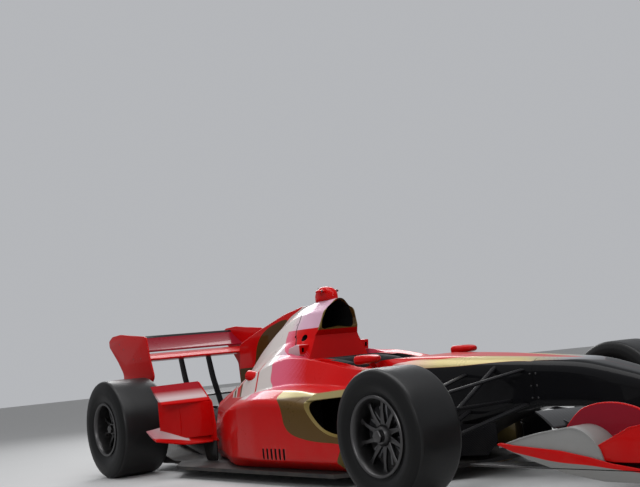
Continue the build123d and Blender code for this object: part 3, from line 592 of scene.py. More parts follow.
def roundedLoop(points, radii, arc=6, run=4):
    # a closed outline with each corner rounded; the same number of points whatever the sizes are
    points = [Vector((*p, 0)) for p in points]
    loop = []
    ends = []
    for i, corner in enumerate(points):
        back, on = points[i - 1] - corner, points[(i + 1) % len(points)] - corner
        angle = back.angle(on, pi)
        reach = radii[i] / max(tan(angle / 2), 1e-3)
        reach = min(reach, 0.48 * back.length, 0.48 * on.length)
        start, stop = corner + back.normalized() * reach, corner + on.normalized() * reach
        weight = sin(angle / 2)
        bend = []
        for s in np.linspace(0, 1, arc + 1).tolist():
            share = (1 - s) ** 2 + 2 * weight * s * (1 - s) + s * s
            bend.append(((1 - s) ** 2 * start + 2 * weight * s * (1 - s) * corner + s * s * stop) / share)
        ends.append(bend)
    for i, bend in enumerate(ends):
        loop += bend
        after = ends[(i + 1) % len(ends)][0]
        loop += [bend[-1].lerp(after, s) for s in np.linspace(0, 1, run + 1)[1:-1].tolist()]
    return [(p.x, p.y) for p in loop]


def roundedBox(x0, x1, y0, y1, radii, arc, run):
    radii = radii if isinstance(radii, list) else [radii] * 4
    return roundedLoop([(x0, y0), (x1, y0), (x1, y1), (x0, y1)], radii, arc, run)


def standing(x, loop):
    # a loop of (y, z) points stood across the car
    return [(x, y, z) for y, z in loop]


def newPiece(name, corners, faces, look):
    mesh = bpy.data.meshes.new(name)
    mesh.from_pydata([tuple(c) for c in corners], [], faces)
    mesh.materials.append(looks[look])
    piece = bpy.data.objects.new(name, mesh)
    scene.collection.objects.link(piece)
    return piece


def skinned(name, rings, look):
    # a skin over rings of equal length, in millimetres, with flat ends
    count, size = len(rings), len(rings[0])
    corners = [tuple(c * mm for c in p) for ring in rings for p in ring]
    faces = []
    for i in range(count - 1):
        for j in range(size):
            a, b = i * size + j, i * size + (j + 1) % size
            faces.append((a, b, b + size, a + size))
    faces += [tuple(range(size)), tuple(reversed(range((count - 1) * size, count * size)))]
    return newPiece(name, corners, faces, look)


def lofted(name, rows, stations, ring, look):
    # a skin whose rings are worked out at each station from a table
    return skinned(name, [ring(at, row) for at, row in zip(stations, eased(rows, stations))], look)


def turnedForm(name, rows, place, look, steps=32):
    # circles from (lift, radius) rows, with each point put in place by a function of (u, v, lift)
    rings = [[place(radius * cos(a), radius * sin(a), lift) for a in around(steps)] for lift, radius in rows]
    return skinned(name, rings, look)


def slab(name, outline, low, high, axis, look):
    # an outline made solid along one axis: "x" takes (y, z) points, "y" takes (x, z) and "z" takes (x, y)
    def corner(p, level):
        place = list(p[:2])
        place.insert("xyz".index(axis), level)
        return [c * mm for c in place]
    size = len(outline)
    corners = [corner(p, level) for level in (low, high) for p in outline]
    faces = [tuple(range(size)), tuple(reversed(range(size, 2 * size)))]
    faces += [(j, (j + 1) % size, (j + 1) % size + size, j + size) for j in range(size)]
    return newPiece(name, corners, faces, look)


def tidyFaces(piece):
    shell = bmesh.new()
    shell.from_mesh(piece.data)
    bmesh.ops.remove_doubles(shell, verts=shell.verts, dist=0.04 * mm)
    bmesh.ops.recalc_face_normals(shell, faces=shell.faces)
    shell.to_mesh(piece.data)
    shell.free()


def bake(piece):
    graph = bpy.context.evaluated_depsgraph_get()
    graph.update()
    mesh = bpy.data.meshes.new_from_object(piece.evaluated_get(graph), preserve_all_data_layers=True,
                                           depsgraph=graph)
    piece.modifiers.clear()
    piece.data = mesh


def carve(piece, *cutters, operation="DIFFERENCE"):
    tidyFaces(piece)
    for cutter in cutters:
        tidyFaces(cutter)
        step = piece.modifiers.new("carve", "BOOLEAN")
        step.operation, step.solver, step.object, step.material_mode = operation, "EXACT", cutter, "TRANSFER"
    bake(piece)
    for cutter in cutters:
        bpy.data.objects.remove(cutter)
    return piece


def soften(piece, width, segments=2, angle=40):
    tidyFaces(piece)
    step = piece.modifiers.new("edges", "BEVEL")
    step.width, step.segments = width * mm, segments
    step.limit_method, step.angle_limit = "ANGLE", radians(angle)
    bake(piece)
    return piece


def settle(piece, body="chassis", stands=(), slot=None, sharp=32):
    tidyFaces(piece)
    piece.data.shade_smooth()
    piece.data.set_sharp_from_angle(angle=radians(sharp))
    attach(piece, body)
    if stands:
        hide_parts(*stands)


def acrossCar(piece):
    # the same piece on the other side of the car
    twin = piece.copy()
    twin.data = piece.data.copy()
    scene.collection.objects.link(twin)
    twin.data.transform(Matrix.Scale(-1, 4, (0, 1, 0)))
    twin.data.flip_normals()
    return twin


def bothSides(piece, stem, stands=(), body="chassis", number="", **settings):
    # settles a piece and its twin across the car; {side} in a node's or a body's name is left or right
    for side, form in (("left", piece), ("right", acrossCar(piece))):
        form.name = f"{stem}{side.title()}{number}"
        settle(form, body.format(side=side), [name.format(side=side) for name in stands], **settings)


def arcThrough(a, b, c, count):
    # points on the circle through three points in a plane
    (ax, ay), (bx, by), (cx, cy) = a, b, c
    d = 2 * (ax * (by - cy) + bx * (cy - ay) + cx * (ay - by))
    ux = ((ax**2 + ay**2) * (by - cy) + (bx**2 + by**2) * (cy - ay) + (cx**2 + cy**2) * (ay - by)) / d
    uy = ((ax**2 + ay**2) * (cx - bx) + (bx**2 + by**2) * (ax - cx) + (cx**2 + cy**2) * (bx - ax)) / d
    angles = [np.arctan2(p[1] - uy, p[0] - ux) for p in (a, b, c)]
    turn = np.unwrap(angles)
    if not min(turn[0], turn[2]) <= turn[1] <= max(turn[0], turn[2]):
        turn[2] += 2 * pi if turn[2] < turn[0] else -2 * pi
    radius = ((ax - ux) ** 2 + (ay - uy) ** 2) ** 0.5
    return [(ux + radius * cos(t), uy + radius * sin(t)) for t in np.linspace(turn[0], turn[2], count)]


def arcsThrough(points, *counts):
    # arcs end to end, each through three points, the last of one being the first of the next
    line = []
    for i, count in enumerate(counts):
        line += arcThrough(*points[2 * i:2 * i + 3], count)[min(i, 1):]
    return line


def plate(name, outline, low, high, axis, look, edge=2.5, corners=None):
    # a thin plate with its corners and edges rounded
    if corners:
        outline = roundedLoop(outline, corners, 7, 1)
    return soften(slab(name, outline, low, high, axis, look), edge, 3, 60)


def rod(name, start, end, radius, look, steps=28, flatten=1):
    # a straight rod; flatten under 1 gives a blade section lying along the car
    start, end = Vector(start), Vector(end)
    axis = (end - start).normalized()
    along = (Vector((1, 0, 0)) - axis * axis.x).normalized()
    across = axis.cross(along) * flatten
    rings = []
    for share in np.linspace(0, 1, 6).tolist():
        middle = start.lerp(end, share)
        rings.append([tuple(middle + (along * cos(a) + across * sin(a)) * radius) for a in around(steps)])
    return skinned(name, rings, look)


# Chassis and nose

chassis = {
    # x, half width, bottom, top, bottom radius, top radius
    "sections": [(-330, 275, 75, 652, 10, 10), (480, 275, 75, 652, 10, 10), (560, 262, 85, 610, 20, 50),
                 (680, 238, 100, 605, 30, 85), (900, 205, 190, 594, 45, 85), (1215, 172, 285, 570, 45, 70),
                 (1440, 155, 325, 550, 45, 60)],
    "wall": 16,
    "dip": [(-200, 656), (60, 629), (300, 577), (404, 584), (500, 606)],
    "dipTop": [(640, 612), (640, 720), (-200, 720)],
    "openingRound": [34, 60, 120, 60, 40, 60, 120, 60, 34],
    "inside": (-314, 1424),
    "opening": [(-235, -212), (60, -212), (330, -190), (478, -110), (500, 0), (478, 110), (330, 190),
                (60, 212), (-235, 212)],
}
nose = {
    "sections": [(1440, 155, 325, 550, 45, 60), (1655, 138, 318, 529, 50, 60), (1880, 112, 285, 474, 50, 52),
                 (2140, 86, 232, 388, 45, 45), (2360, 60, 196, 304, 35, 35), (2435, 36, 196, 252, 18, 18)],
    "tip": [(2441, 31, 200, 247, 20, 20), (2446, 22, 207, 239, 15, 15), (2448, 10, 216, 230, 7, 7)],
    "hanger": [(2060, 300), (2230, 270), (2300, 100), (2130, 100)],
    "hangerAt": 62, "hangerHalf": 7,
}


def boxSkin(name, sections, stations, look, shrink=0):
    def ring(x, row):
        half, low, high, lowR, highR = row
        lowR, highR = max(lowR - shrink, 6), max(highR - shrink, 6)
        side, radii = half - shrink, [lowR, lowR, highR, highR]
        return standing(x, roundedBox(-side, side, low + shrink, high - shrink, radii, 7, 5))
    return lofted(name, sections, stations, ring, look)


def rimDip(name):
    # what is taken off the cockpit's sides, which fall to the elbows and rise again to the hoop
    return slab(name, arcsThrough(chassis["dip"], 16, 12) + chassis["dipTop"], -300, 300, "y", "nosePaint")


def buildTub():
    stations = [-330, -100, 200, 400, 480] + list(range(500, 1441, 20))
    back, front = chassis["inside"]
    tub = boxSkin("tubForm", chassis["sections"], stations, "nosePaint")
    inside = boxSkin("tubInside", chassis["sections"], [back] + stations[1:-1] + [front], "weaveMatt",
                     chassis["wall"])
    mouth = roundedLoop(chassis["opening"], chassis["openingRound"], 6, 2)
    carve(tub, inside, slab("tubMouth", mouth, 480, 720, "z", "weaveGloss"), rimDip("tubDip"))
    settle(tub, stands=["tub"])


def buildNose():
    stations = list(range(1440, 2431, 18)) + [2435, 2438, 2441, 2444, 2446, 2448]
    settle(boxSkin("noseCone", nose["sections"] + nose["tip"], stations, "nosePaint"), stands=["nose_cone"])
    at, half = nose["hangerAt"], nose["hangerHalf"]
    hanger = slab("hanger", nose["hanger"], at - half, at + half, "y", "nosePaint")
    bothSides(soften(hanger, 5, 3), "noseHanger")


buildTub()
buildNose()
print("chassis and nose made")


# Sidepods

sidepod = {
    # x, outer half width, top edge y z, waist y z, shoulder y z, height at the chassis
    "sections": [(680, 700, 620, 468, 410, 475, 352, 550, 556),
                 (366, 700, 620, 472, 405, 480, 352, 573, 577),
                 (148, 700, 615, 494, 430, 503, 350, 616, 608),
                 (-145, 698, 605, 505, 430, 518, 350, 663, 654),
                 (-270, 686, 591, 496, 427, 513, 350, 669, 682),
                 (-474, 652, 560, 470, 420, 500, 350, 641, 698),
                 (-720, 560, 490, 428, 405, 455, 345, 580, 628),
                 (-956, 446, 400, 372, 362, 402, 328, 498, 545),
                 (-1250, 330, 318, 290, 306, 330, 292, 395, 436)],
    "duct": [(700, 376, 676, 262, 434), (330, 364, 676, 240, 434), (-60, 300, 672, 108, 484)],
    "lip": [(338, 440), (404, 352), (640, 257), (657, 226), (635, 197)],
    "mouthEnd": [(548, 60), (548, 0), (900, 0), (900, 440)],
    "ahead": [(338, 684), (412, 400), (430, 352), (560, 262), (900, 262), (900, 860), (338, 860)],
    "gills": {"start": -86, "count": 6, "pitch": 41, "wide": 12, "rake": 16, "low": 136, "high": 196,
              "deep": 9},
}


def podRing(x, row):
    w, topY, topZ, waistY, waistZ, ridgeY, ridgeZ, inZ = row
    k = float(np.clip((x + 1250) / 294, 0, 1)) * 0.7 + 0.3
    points = [(275, 75), (min(600, w - 30), 75), (w, 135), (w, topZ - 52), (topY, topZ), (waistY, waistZ),
              (ridgeY, ridgeZ), (275, inZ)]
    return standing(x, roundedLoop(points, [2, 30 * k, 30 * k, 40 * k, 60 * k, 30 * k, 9 * k, 2], 7, 7))


def buildSidepods():
    pod = lofted("sidepod", sidepod["sections"], list(range(-1250, 680, 22)) + [680], podRing, "podPaint")
    outline = arcsThrough(sidepod["lip"], 28, 9) + sidepod["mouthEnd"]
    mouth = slab("podMouth", outline, 270, 800, "y", "mouthPaint")
    ahead = slab("podAhead", sidepod["ahead"], 430, 800, "z", "lipPaint")
    # the duct and the gill slots are lined in near-black, partly painted shade
    ductRings = [standing(x, roundedBox(y0, y1, z0, z1, 58, 8, 3)) for x, y0, y1, z0, z1 in sidepod["duct"]]
    gills = sidepod["gills"]
    slots = []
    for i in range(gills["count"]):
        front = gills["start"] + i * gills["pitch"]
        back = front + gills["wide"] + gills["rake"]
        outline = [(front, 700 - gills["deep"]), (back, 704), (back, 720), (front, 720)]
        slots.append(slab(f"gill{i}", outline, gills["low"], gills["high"], "z", "ductBlack"))
    carve(pod, mouth, ahead, skinned("podDuct", ductRings, "ductBlack"), *slots)
    bothSides(pod, "sidepod", ["sidepod_{side}"])


buildSidepods()
print("sidepods made")


# Engine cover, fin and exhausts

cover = {
    # x, base z, base half width, edge z, lower flank y z, upper flank y z, top z
    "sections": [(-160, 440, 190, 652, 160, 760, 112, 930, 1018),
                 (-245, 440, 225, 656, 168, 770, 116, 930, 1020),
                 (-330, 440, 275, 672, 188, 788, 114, 930, 1020),
                 (-474, 440, 275, 698, 198, 768, 88, 925, 1008),
                 (-720, 440, 275, 628, 165, 725, 74, 862, 925),
                 (-956, 440, 275, 545, 148, 630, 68, 750, 810),
                 (-1130, 425, 274, 470, 135, 535, 62, 640, 690),
                 (-1290, 412, 230, 436, 115, 465, 56, 530, 565),
                 (-1440, 402, 150, 416, 90, 428, 44, 448, 462)],
    "mouth": [(-100, 1100), (-158, 1100), (-166, 1012), (-205, 836), (-238, 790), (-236, 640), (-100, 600)],
    "front": [(-330, 300), (70, 300), (70, 652), (-330, 652)],
    "duct": [(-130, 122, 84, 824, 1004), (-300, 118, 84, 824, 1002), (-520, 78, 52, 800, 960)],
    "fin": [(-430, 985), (-563, 990), (-776, 960), (-988, 910), (-1163, 866), (-1375, 806), (-1400, 600),
            (-1400, 440), (-900, 500), (-430, 900)],
    "finRound": [20, 60, 200, 200, 200, 46, 20, 6, 20, 20],
    "lip": [(10, 1.13), (-16, 1.0)],
    "strop": (-314, 784, 20),
    "pin": (-412, 799, 8),
    "exhaust": (((-600, 322, 562), (-745, 335, 592)), 34, 30),
    "scoop": [(-402, 678), (-272, 678), (-262, 741), (-300, 746), (-385, 730)],
    "scoopMouth": [(-330, 700), (-240, 700), (-240, 726), (-330, 724)],
    # the middle of each pair across the car, and its half width
    "scoopAt": (226, 36), "scoopMouthAt": (240, 8),
}


def coverRing(x, row):
    base, half, edge, y1, z1, y2, z2, top = row
    k = 0.2 + 0.8 * float(np.clip((x + 1290) / 160, 0, 1))
    points = [(-half, base), (half, base), (half, edge), (y1, z1), (y2, z2), (0, top), (-y2, z2), (-y1, z1),
              (-half, edge)]
    return standing(x, roundedLoop(points, [2, 2, 4, 60 * k, 40 * k, 55 * k, 40 * k, 60 * k, 4], 7, 7))


def ductLoop(half, highHalf, low, top):
    points = [(-half, low), (0, low + 14), (half, low), (half - 4, low + 60), (highHalf, low + 128), (0, top),
              (-highHalf, low + 128), (-half + 4, low + 60)]
    return roundedLoop(points, [20, 80, 20, 30, 30, 40, 30, 30], 6, 4)


def airLip():
    # the flared edge of the inlet, following the slope of the face it opens through
    rings = []
    for ahead, grow in cover["lip"]:
        rings.append([(-205 + (z - 836) * 0.2216 + ahead, y * grow, 915 + (z - 915) * grow)
                      for y, z in ductLoop(*cover["duct"][0][1:])])
    return skinned("airLip", rings, "goldEdge")


def bore(name, spot, low, high):
    # a round hole across the car, lined in near-black that is partly painted shade
    x, z, radius = spot
    rows = [(low, radius), (high, radius)]
    return turnedForm(name, rows, lambda u, v, lift: (x + u, lift, z + v), "ductBlack")


def pairOf(name, outline, middle, half, look):
    # the same slab on each side of the car
    return [slab(f"{name}{side}", outline, side * middle - half, side * middle + half, "y", look)
            for side in (-1, 1)]


def buildCover():
    stations = list(range(-1440, -160, 16)) + [-160]
    shell = lofted("engineCover", cover["sections"], stations, coverRing, "coverPaint")
    mouth = slab("coverMouth", cover["mouth"], -320, 320, "y", "coverPaint")
    front = slab("coverFront", cover["front"], -350, 350, "y", "weaveMatt")
    scoops = [soften(form, 5, 3) for form in pairOf("scoop", cover["scoop"], *cover["scoopAt"], "scoopPaint")]
    # the holes and the air duct are lined in the same near-black, partly painted shade
    holes = pairOf("scoopMouth", cover["scoopMouth"], *cover["scoopMouthAt"], "ductBlack")
    holes.append(bore("stropHole", cover["strop"], -320, 320))
    holes += [bore(f"pinHole{side}", cover["pin"], side * 200 - 115, side * 200 + 115) for side in (-1, 1)]
    duct = skinned("airDuct", [standing(x, ductLoop(*row)) for x, *row in cover["duct"]], "ductBlack")
    carve(shell, mouth, front)
    carve(shell, *scoops, operation="UNION")
    carve(shell, duct, airLip(), *holes)
    settle(shell, stands=["engine_cover"])
    edge = roundedLoop(cover["fin"], cover["finRound"], 6, 3)
    settle(soften(slab("engineFin", edge, -11, 11, "y", "coverPaint"), 8, 4, 60), stands=["engine_fin"])


def buildExhausts():
    (start, end), outer, inner = cover["exhaust"]
    reach = (Vector(end) - Vector(start)) * 0.1
    pipe = rod("exhaust", start, end, outer, "redPaint", 48)
    # the bore is lined in near-black, partly painted shade
    carve(pipe, rod("exhaustBore", Vector(start) - reach, Vector(end) + reach, inner, "ductBlack", 48))
    bothSides(soften(pipe, 1.2), "exhaust", ["exhausts"])


buildCover()
buildExhausts()
print("engine cover made")


# Wings

wings = {
    # y, leading edge x z, trailing edge x z, thickness, how far the middle hangs
    "frontMain": [(0, 2465, 118, 2080, 112, 34, 14), (180, 2462, 118, 2075, 112, 34, 14),
                  (330, 2440, 150, 2050, 168, 32, 12), (620, 2405, 160, 2030, 186, 30, 10)],
    "frontFlapLower": [(60, 2077, 205, 1950, 262, 16, 4), (620, 2052, 208, 1925, 276, 16, 6)],
    "frontFlapUpper": [(60, 1974, 278, 1888, 330, 12, 3), (620, 1945, 290, 1858, 352, 12, 4)],
    "rearWingMain": [(-490, -1880, 770, -2172, 818, 40, 18), (490, -1880, 770, -2172, 818, 40, 18)],
    "rearWingFlap": [(-490, -2150, 836, -2322, 945, 22, 25), (490, -2150, 836, -2322, 945, 22, 25)],
    "beamWing": [(-490, -2000, 470, -2180, 505, 22, 8), (490, -2000, 470, -2180, 505, 22, 8)],
    "flipUpper": [(455, -1060, 462, -1200, 586, 18, 20), (795, -1070, 466, -1205, 582, 18, 20)],
    "flipLower": [(420, -1050, 200, -1200, 330, 14, 14), (600, -1075, 203, -1215, 330, 14, 14),
                  (830, -1110, 245, -1245, 306, 14, 10)],
    "brackets": [240, 400, 540],
    "bracket": [(2010, 215), (1900, 240), (1880, 330), (1960, 300)],
    "endplate": [(-1745, 640), (-1800, 800), (-1825, 925), (-1870, 938), (-2100, 962), (-2250, 980),
                 (-2400, 975), (-2465, 945), (-2465, 900), (-2330, 780), (-2250, 690), (-2235, 455),
                 (-1985, 455)],
    "innerPlate": [(-1020, 76), (-1010, 300), (-1036, 455), (-1066, 474), (-1190, 588), (-1214, 580),
                   (-1230, 300), (-1160, 76)],
    "outerPlate": [(-1130, 215), (-1120, 300), (-1128, 500), (-1205, 572), (-1222, 560), (-1222, 300)],
    "ramp": [(-1046, 452), (-1100, 600), (-1208, 752)],
    "rampTop": [(-1010, 440), (-1062, 458), (-1202, 576), (-1260, 640), (-1260, 700), (-1010, 700)],
    "pylon": [(-1870, 372), (-1945, 372), (-2050, 600), (-2096, 778), (-2028, 778), (-1975, 600)],
    "fence": [(1975, 232), (2026, 304), (2100, 362), (2200, 382), (2352, 360), (2416, 300), (2440, 220)],
    "strip": [(1757, 236), (1757, 242), (1774, 246), (1841, 237), (2071, 220), (2207, 198), (2300, 178),
              (2440, 160), (2440, 114), (2260, 114), (2081, 139), (1913, 184), (1800, 224)],
    "foot": [(1600, 690), (1560, 742), (1757, 750), (2440, 750), (2440, 620), (1915, 620), (1740, 640)],
    "tunnel": [(1757, 232), (1925, 276), (2085, 300), (2192, 286), (2262, 188)],
    "turn": [(1206, 192), (1078, 222), (938, 274)],
    "turnCut": [(1130, 100), (1216, 190), (1216, 240), (1180, 300), (1300, 300), (1300, 100)],
    "stays": [(1135, 209, 238), (985, 254, 212)],
    "vane": [(2217, 222), (2387, 296), (2438, 306), (2438, 312), (2385, 303), (2217, 229)],
    "vaneSide": [(2217, 190), (2217, 226), (2387, 299), (2438, 309), (2438, 180), (2300, 180)],
    "flapLip": [(-2316, 942), (-2321, 942), (-2326, 958), (-2323, 959)],
    "domeFoot": [(2440, 150), (1962, 150)], "wallFoot": [(2262, 160), (1990, 160), (1800, 215)],
    "fenceFaces": (618, 630), "tunnelFaces": (624, 741), "wallFaces": (733, 739),
    # foils across the whole car: look and the node that each stands for
    # the rear flap's darker red is painted shade
    "foils": {"rearWingMain": ("redPaint", "rear_wing_main"), "rearWingFlap": ("crimson", "rear_wing_flap"),
              "beamWing": ("weaveGloss", "rear_beam_wing")},
    # plates on both sides: outline, faces, axis, look, edge, the corners' radii, nodes that they stand for
    "plates": {
        "wingStrip": ("strip", 742, 750, "y", "stripPaint", 2.0,
                      [3, 4, 10, 60, 200, 90, 90, 6, 6, 80, 200, 200, 60], []),
        "wingFoot": ("foot", 150, 158, "z", "weaveGloss", 2.5, [10, 12, 60, 14, 8, 40, 40], []),
        "wingVane": ("vane", 631, 735, "y", "redPaint", 2, None, []),
        "vaneSide": ("vaneSide", 727, 734, "y", "redPaint", 2, None, []),
        "pylon": ("pylon", 111, 121, "y", "armBlack", 3, [4, 4, 300, 4, 4, 300], ["rear_wing_pylons"]),
        "rearFence": ("endplate", 490, 500, "y", "redPaint", 3.5,
                      [40, 60, 26, 30, 200, 200, 60, 14, 30, 90, 60, 8, 8], ["rear_endplates"]),
        "flipInner": ("innerPlate", 452, 460, "y", "flipPaint", 2.5, [20, 90, 60, 60, 20, 14, 90, 20], []),
        "flipOuter": ("outerPlate", 640, 648, "y", "redPaint", 2.5, [20, 60, 60, 60, 14, 14, 60], []),
    },
}


def foilRing(y, row):
    x0, z0, x1, z1, thick, belly = row
    midX, midZ = (x0 + x1) / 2 + 0.1 * (x0 - x1), (z0 + z1) / 2 - belly
    tip = arcThrough((x0 - 3, z0 + 6), (x0, z0), (x0 - 3, z0 - 6), 9)
    under = arcThrough((x0 - 3, z0 - 6), (midX, midZ - thick / 2), (x1, z1 - 2), 24)
    over = arcThrough((x1, z1 + 2), (midX, midZ + thick / 2), (x0 - 3, z0 + 6), 24)
    return [(x, y, z) for x, z in tip + under[1:] + over[:-1]]


def foil(name, rows, look, step=30):
    low, high = rows[0][0], rows[-1][0]
    stations = np.linspace(low, high, max(2, round((high - low) / step) + 1)).tolist()
    return lofted(name, rows, stations, foilRing, look)


def bent(outline, backX, backZ):
    # an arc and its own copy a little behind it, as the outline of a thin sheet
    return outline + [(x - backX, z - backZ) for x, z in reversed(outline)]


def buildFrontWing():
    half = wings["frontMain"]
    whole = [(-row[0],) + row[1:] for row in reversed(half[1:])] + half
    settle(foil("frontWingMain", whole, "redPaint"), stands=["front_wing_main"])
    for stem in ("frontFlapLower", "frontFlapUpper"):
        bothSides(foil(stem, wings[stem], "weaveGloss"), stem, ["front_wing_flaps"])
    for i, y in enumerate(wings["brackets"]):
        bracket = plate("bracket", wings["bracket"], y - 2, y + 2, "y", "weaveGloss", 1.2, [12] * 4)
        bothSides(bracket, "flapBracket", number=i)


def buildTurningVanes():
    # a turning vane under each side of the nose, ahead of the bargeboard: a part of the type, also put there
    # dark to stand in for the shade under the nose
    vane = slab("vane", bent(arcsThrough(wings["turn"], 20), 2, 4), 112, 262, "z", "armBlack")
    carve(vane, slab("vaneCut", wings["turnCut"], 100, 400, "y", "armBlack"))
    bothSides(soften(vane, 1.4, 2, 50), "turningVane")
    for i, (x, y, z) in enumerate(wings["stays"]):
        bothSides(rod("stay", (x, y, z), (x, 140, z + 40), 5, "armBlack", 16), "vaneStay", number=i)


def buildEndplates():
    dome = wings["domeFoot"] + arcsThrough(wings["fence"], 16, 18, 14)
    # painted shade on the endplate's flat faces; its rounded edges keep the lit red
    fence = plate("fence", dome, *wings["fenceFaces"], "y", "crimson", 4.5)
    fence.data.materials.append(looks["redPaint"])
    for face in fence.data.polygons:
        face.material_index = 1 if abs(face.normal.y) < 0.97 else 0
    bothSides(fence, "wingFence", ["front_endplates"])
    over = arcsThrough(wings["tunnel"], 20, 16)
    roof = plate("tunnel", bent(over, 0, 7), *wings["tunnelFaces"], "y", "whitePaint", 1.5)
    bothSides(roof, "wingTunnel")
    wall = [(x, z - 2) for x, z in over[1:-1]] + wings["wallFoot"]
    bothSides(plate("wall", wall, *wings["wallFaces"], "y", "whitePaint", 1.5), "tunnelWall")


def buildPlates():
    for stem, (outline, low, high, axis, look, edge, rounds, stands) in wings["plates"].items():
        bothSides(plate(stem, wings[outline], low, high, axis, look, edge, rounds), stem, stands)


def buildRearWing():
    for name, (look, node) in wings["foils"].items():
        settle(foil(name, wings[name], look, 70), stands=[node])
    # a small lip along the flap's trailing edge
    settle(soften(slab("flapLip", wings["flapLip"], -489, 489, "y", "weaveGloss"), 0.8))


def buildFlipUps():
    for stem, look in (("flipUpper", "wingletPaint"), ("flipLower", "footPaint")):
        bothSides(foil(stem, wings[stem], look), stem, ["rear_flip_ups"])
    ramp = plate("ramp", bent(arcsThrough(wings["ramp"], 24), 6, 4), 240, 560, "z", "redPaint", 1.5)
    carve(ramp, slab("aboveRamp", wings["rampTop"], 400, 820, "y", "redPaint"))
    bothSides(ramp, "flipRamp")


buildFrontWing()
buildTurningVanes()
buildEndplates()
buildPlates()
buildRearWing()
buildFlipUps()
print("wings made")


# Mirrors and camera housing

fittings = {
    # x, y half width, z half height
    "mirror": [(428, 50, 22), (436, 53, 24), (462, 53, 24), (500, 49, 22.5), (532, 42, 19), (558, 30, 14),
               (570, 20, 10.5), (574, 14, 8)],
    "mirrorAt": (350, 621),
    "stalk": ((468, 262, 535), (478, 334, 612), 24),
    # x, half width, bottom, top
    "camera": [(-205, 14, 996, 1030), (-214, 22, 990, 1046), (-235, 30, 990, 1066), (-262, 34, 990, 1080),
               (-320, 34, 990, 1087), (-370, 27, 990, 1072), (-400, 16, 990, 1046)],
    "lensBar": (-290, 1056, 54, 20),
    "barEnds": [(-75, 0.55), (-72, 0.85), (-67, 1.0), (67, 1.0), (72, 0.85), (75, 0.55)],
    "lensAt": 58, "lens": [(-3, 7), (0, 7), (1.5, 6.02), (2, 4.2)],
    "aerial": ((-372, 0, 1060), (-380, 0, 1085), 3),
}


def boxLoop(halfY, low, high, share, centre=0):
    return roundedBox(centre - halfY, centre + halfY, low, high, min(halfY, (high - low) / 2) * share, 8, 3)


def buildMirrors():
    y, z = fittings["mirrorAt"]
    stations = [428, 430, 433, 436] + list(range(442, 572, 8)) + [572, 574]
    housing = lofted("mirror", fittings["mirror"], stations,
                     lambda x, row: standing(x, boxLoop(row[0], z - row[1], z + row[1], 0.9, y)), "redPaint")
    carve(housing, slab("mirrorRecess", boxLoop(46, z - 19, z + 19, 0.7, y), 420, 434, "x", "weaveMatt"))
    bothSides(housing, "mirror", ["mirrors"])
    glass = plate("glass", boxLoop(45, z - 18, z + 18, 0.7, y), 430, 434.5, "x", "mirrorGlass", 0.8)
    bothSides(glass, "mirrorGlass")
    bothSides(rod("stalk", *fittings["stalk"], "redPaint", flatten=0.3), "mirrorStalk")


def buildCamera():
    stations = [-205, -208, -213] + list(range(-220, -400, -8)) + [-400]
    housing = lofted("cameraHousing", fittings["camera"], stations,
                     lambda x, row: standing(x, boxLoop(*row, 0.85)), "redPaint")
    settle(housing, stands=["camera_pod"])
    x, z, long, high = fittings["lensBar"]
    side = fittings["lensAt"]

    def onBar(u, v, y):
        return x + u * long / 2, y, z + v * high / 2

    def facingNose(u, v, lift):
        return x + long / 2 + lift, side + u, z + v
    settle(turnedForm("cameraBar", fittings["barEnds"], onBar, "redPaint"))
    bothSides(turnedForm("lens", fittings["lens"], facingNose, "lensBlack"), "lens")
    settle(rod("aerial", *fittings["aerial"], "weaveMatt", 12))


buildMirrors()
buildCamera()
print("mirrors and camera made")


# Cockpit

cockpit = {
    "collarOut": [(-231, -208), (60, -208), (126, -202), (126, 202), (60, 208), (-231, 208)],
    "collarIn": [(-174, -139), (40, -154), (160, -169), (160, 169), (40, 154), (-174, 139)],
    "collarLow": 566, "collarHigh": 642, "swell": 6,
    "seatFace": [(-255, 540), (-60, 160), (40, 99), (300, 99), (390, 170)],
    "seatUnder": [(398, 164), (305, 91), (36, 91), (-66, 152), (-262, 534)],
    "seatWing": [(-262, 534), (-66, 152), (36, 91), (305, 91), (300, 240), (60, 320), (-150, 545)],
    "seatBackPad": [(-222, 492), (-66, 190), (-52, 197), (-208, 500)],
    "seatBasePad": [(62, 101), (282, 101), (282, 118), (62, 118)],
    "padHalf": {"seatBackPad": 168, "seatBasePad": 176}, "seatHalf": 205, "seatSideHalf": 5,
    "wheel": {
        "centre": (330, 0, 530), "lean": 25, "wide": 250, "high": 150, "thick": 26,
        "display": [(-34, 12), (34, 12), (34, 44), (-34, 44)],
        "knobs": [(-36, -20, 8, "castAlloy"), (36, -20, 8, "castAlloy"), (0, -12, 10, "castAlloy"),
                  (-36, 0, 5, "redPaint"), (36, 0, 5, "goldEdge"), (-18, -42, 6, "grip"),
                  (18, -42, 6, "grip")],
        "handHole": (78, 21, 42), "hub": ((0, 0, -150), (0, 0, 4), 22),
        "column": ((455, 0, 472), (1278, 0, 370), 13),
    },
    "buckle": [(0, 24), (2, 26), (12, 26), (15, 23), (15.5, 12), (18, 10), (18.5, 0.5)],
    "buckleAt": (52, 150),  # x z
    "beltsFace": (0.62, 0, 0.78),  # the direction that the belts and their buckle face
    "straps": {  # points x y z along each strap of the left half, width
        "shoulder": ([(-196, 62, 488), (-170, 60, 446), (-120, 56, 352), (-66, 50, 246), (-30, 40, 196),
                      (14, 26, 168), (40, 16, 156)], 46),
        "lap": ([(20, 196, 196), (40, 168, 166), (60, 120, 140), (64, 70, 136), (60, 22, 146)], 46),
        "crotch": ([(196, 16, 122), (150, 15, 124), (110, 14, 130), (72, 13, 142)], 26),
    },
}


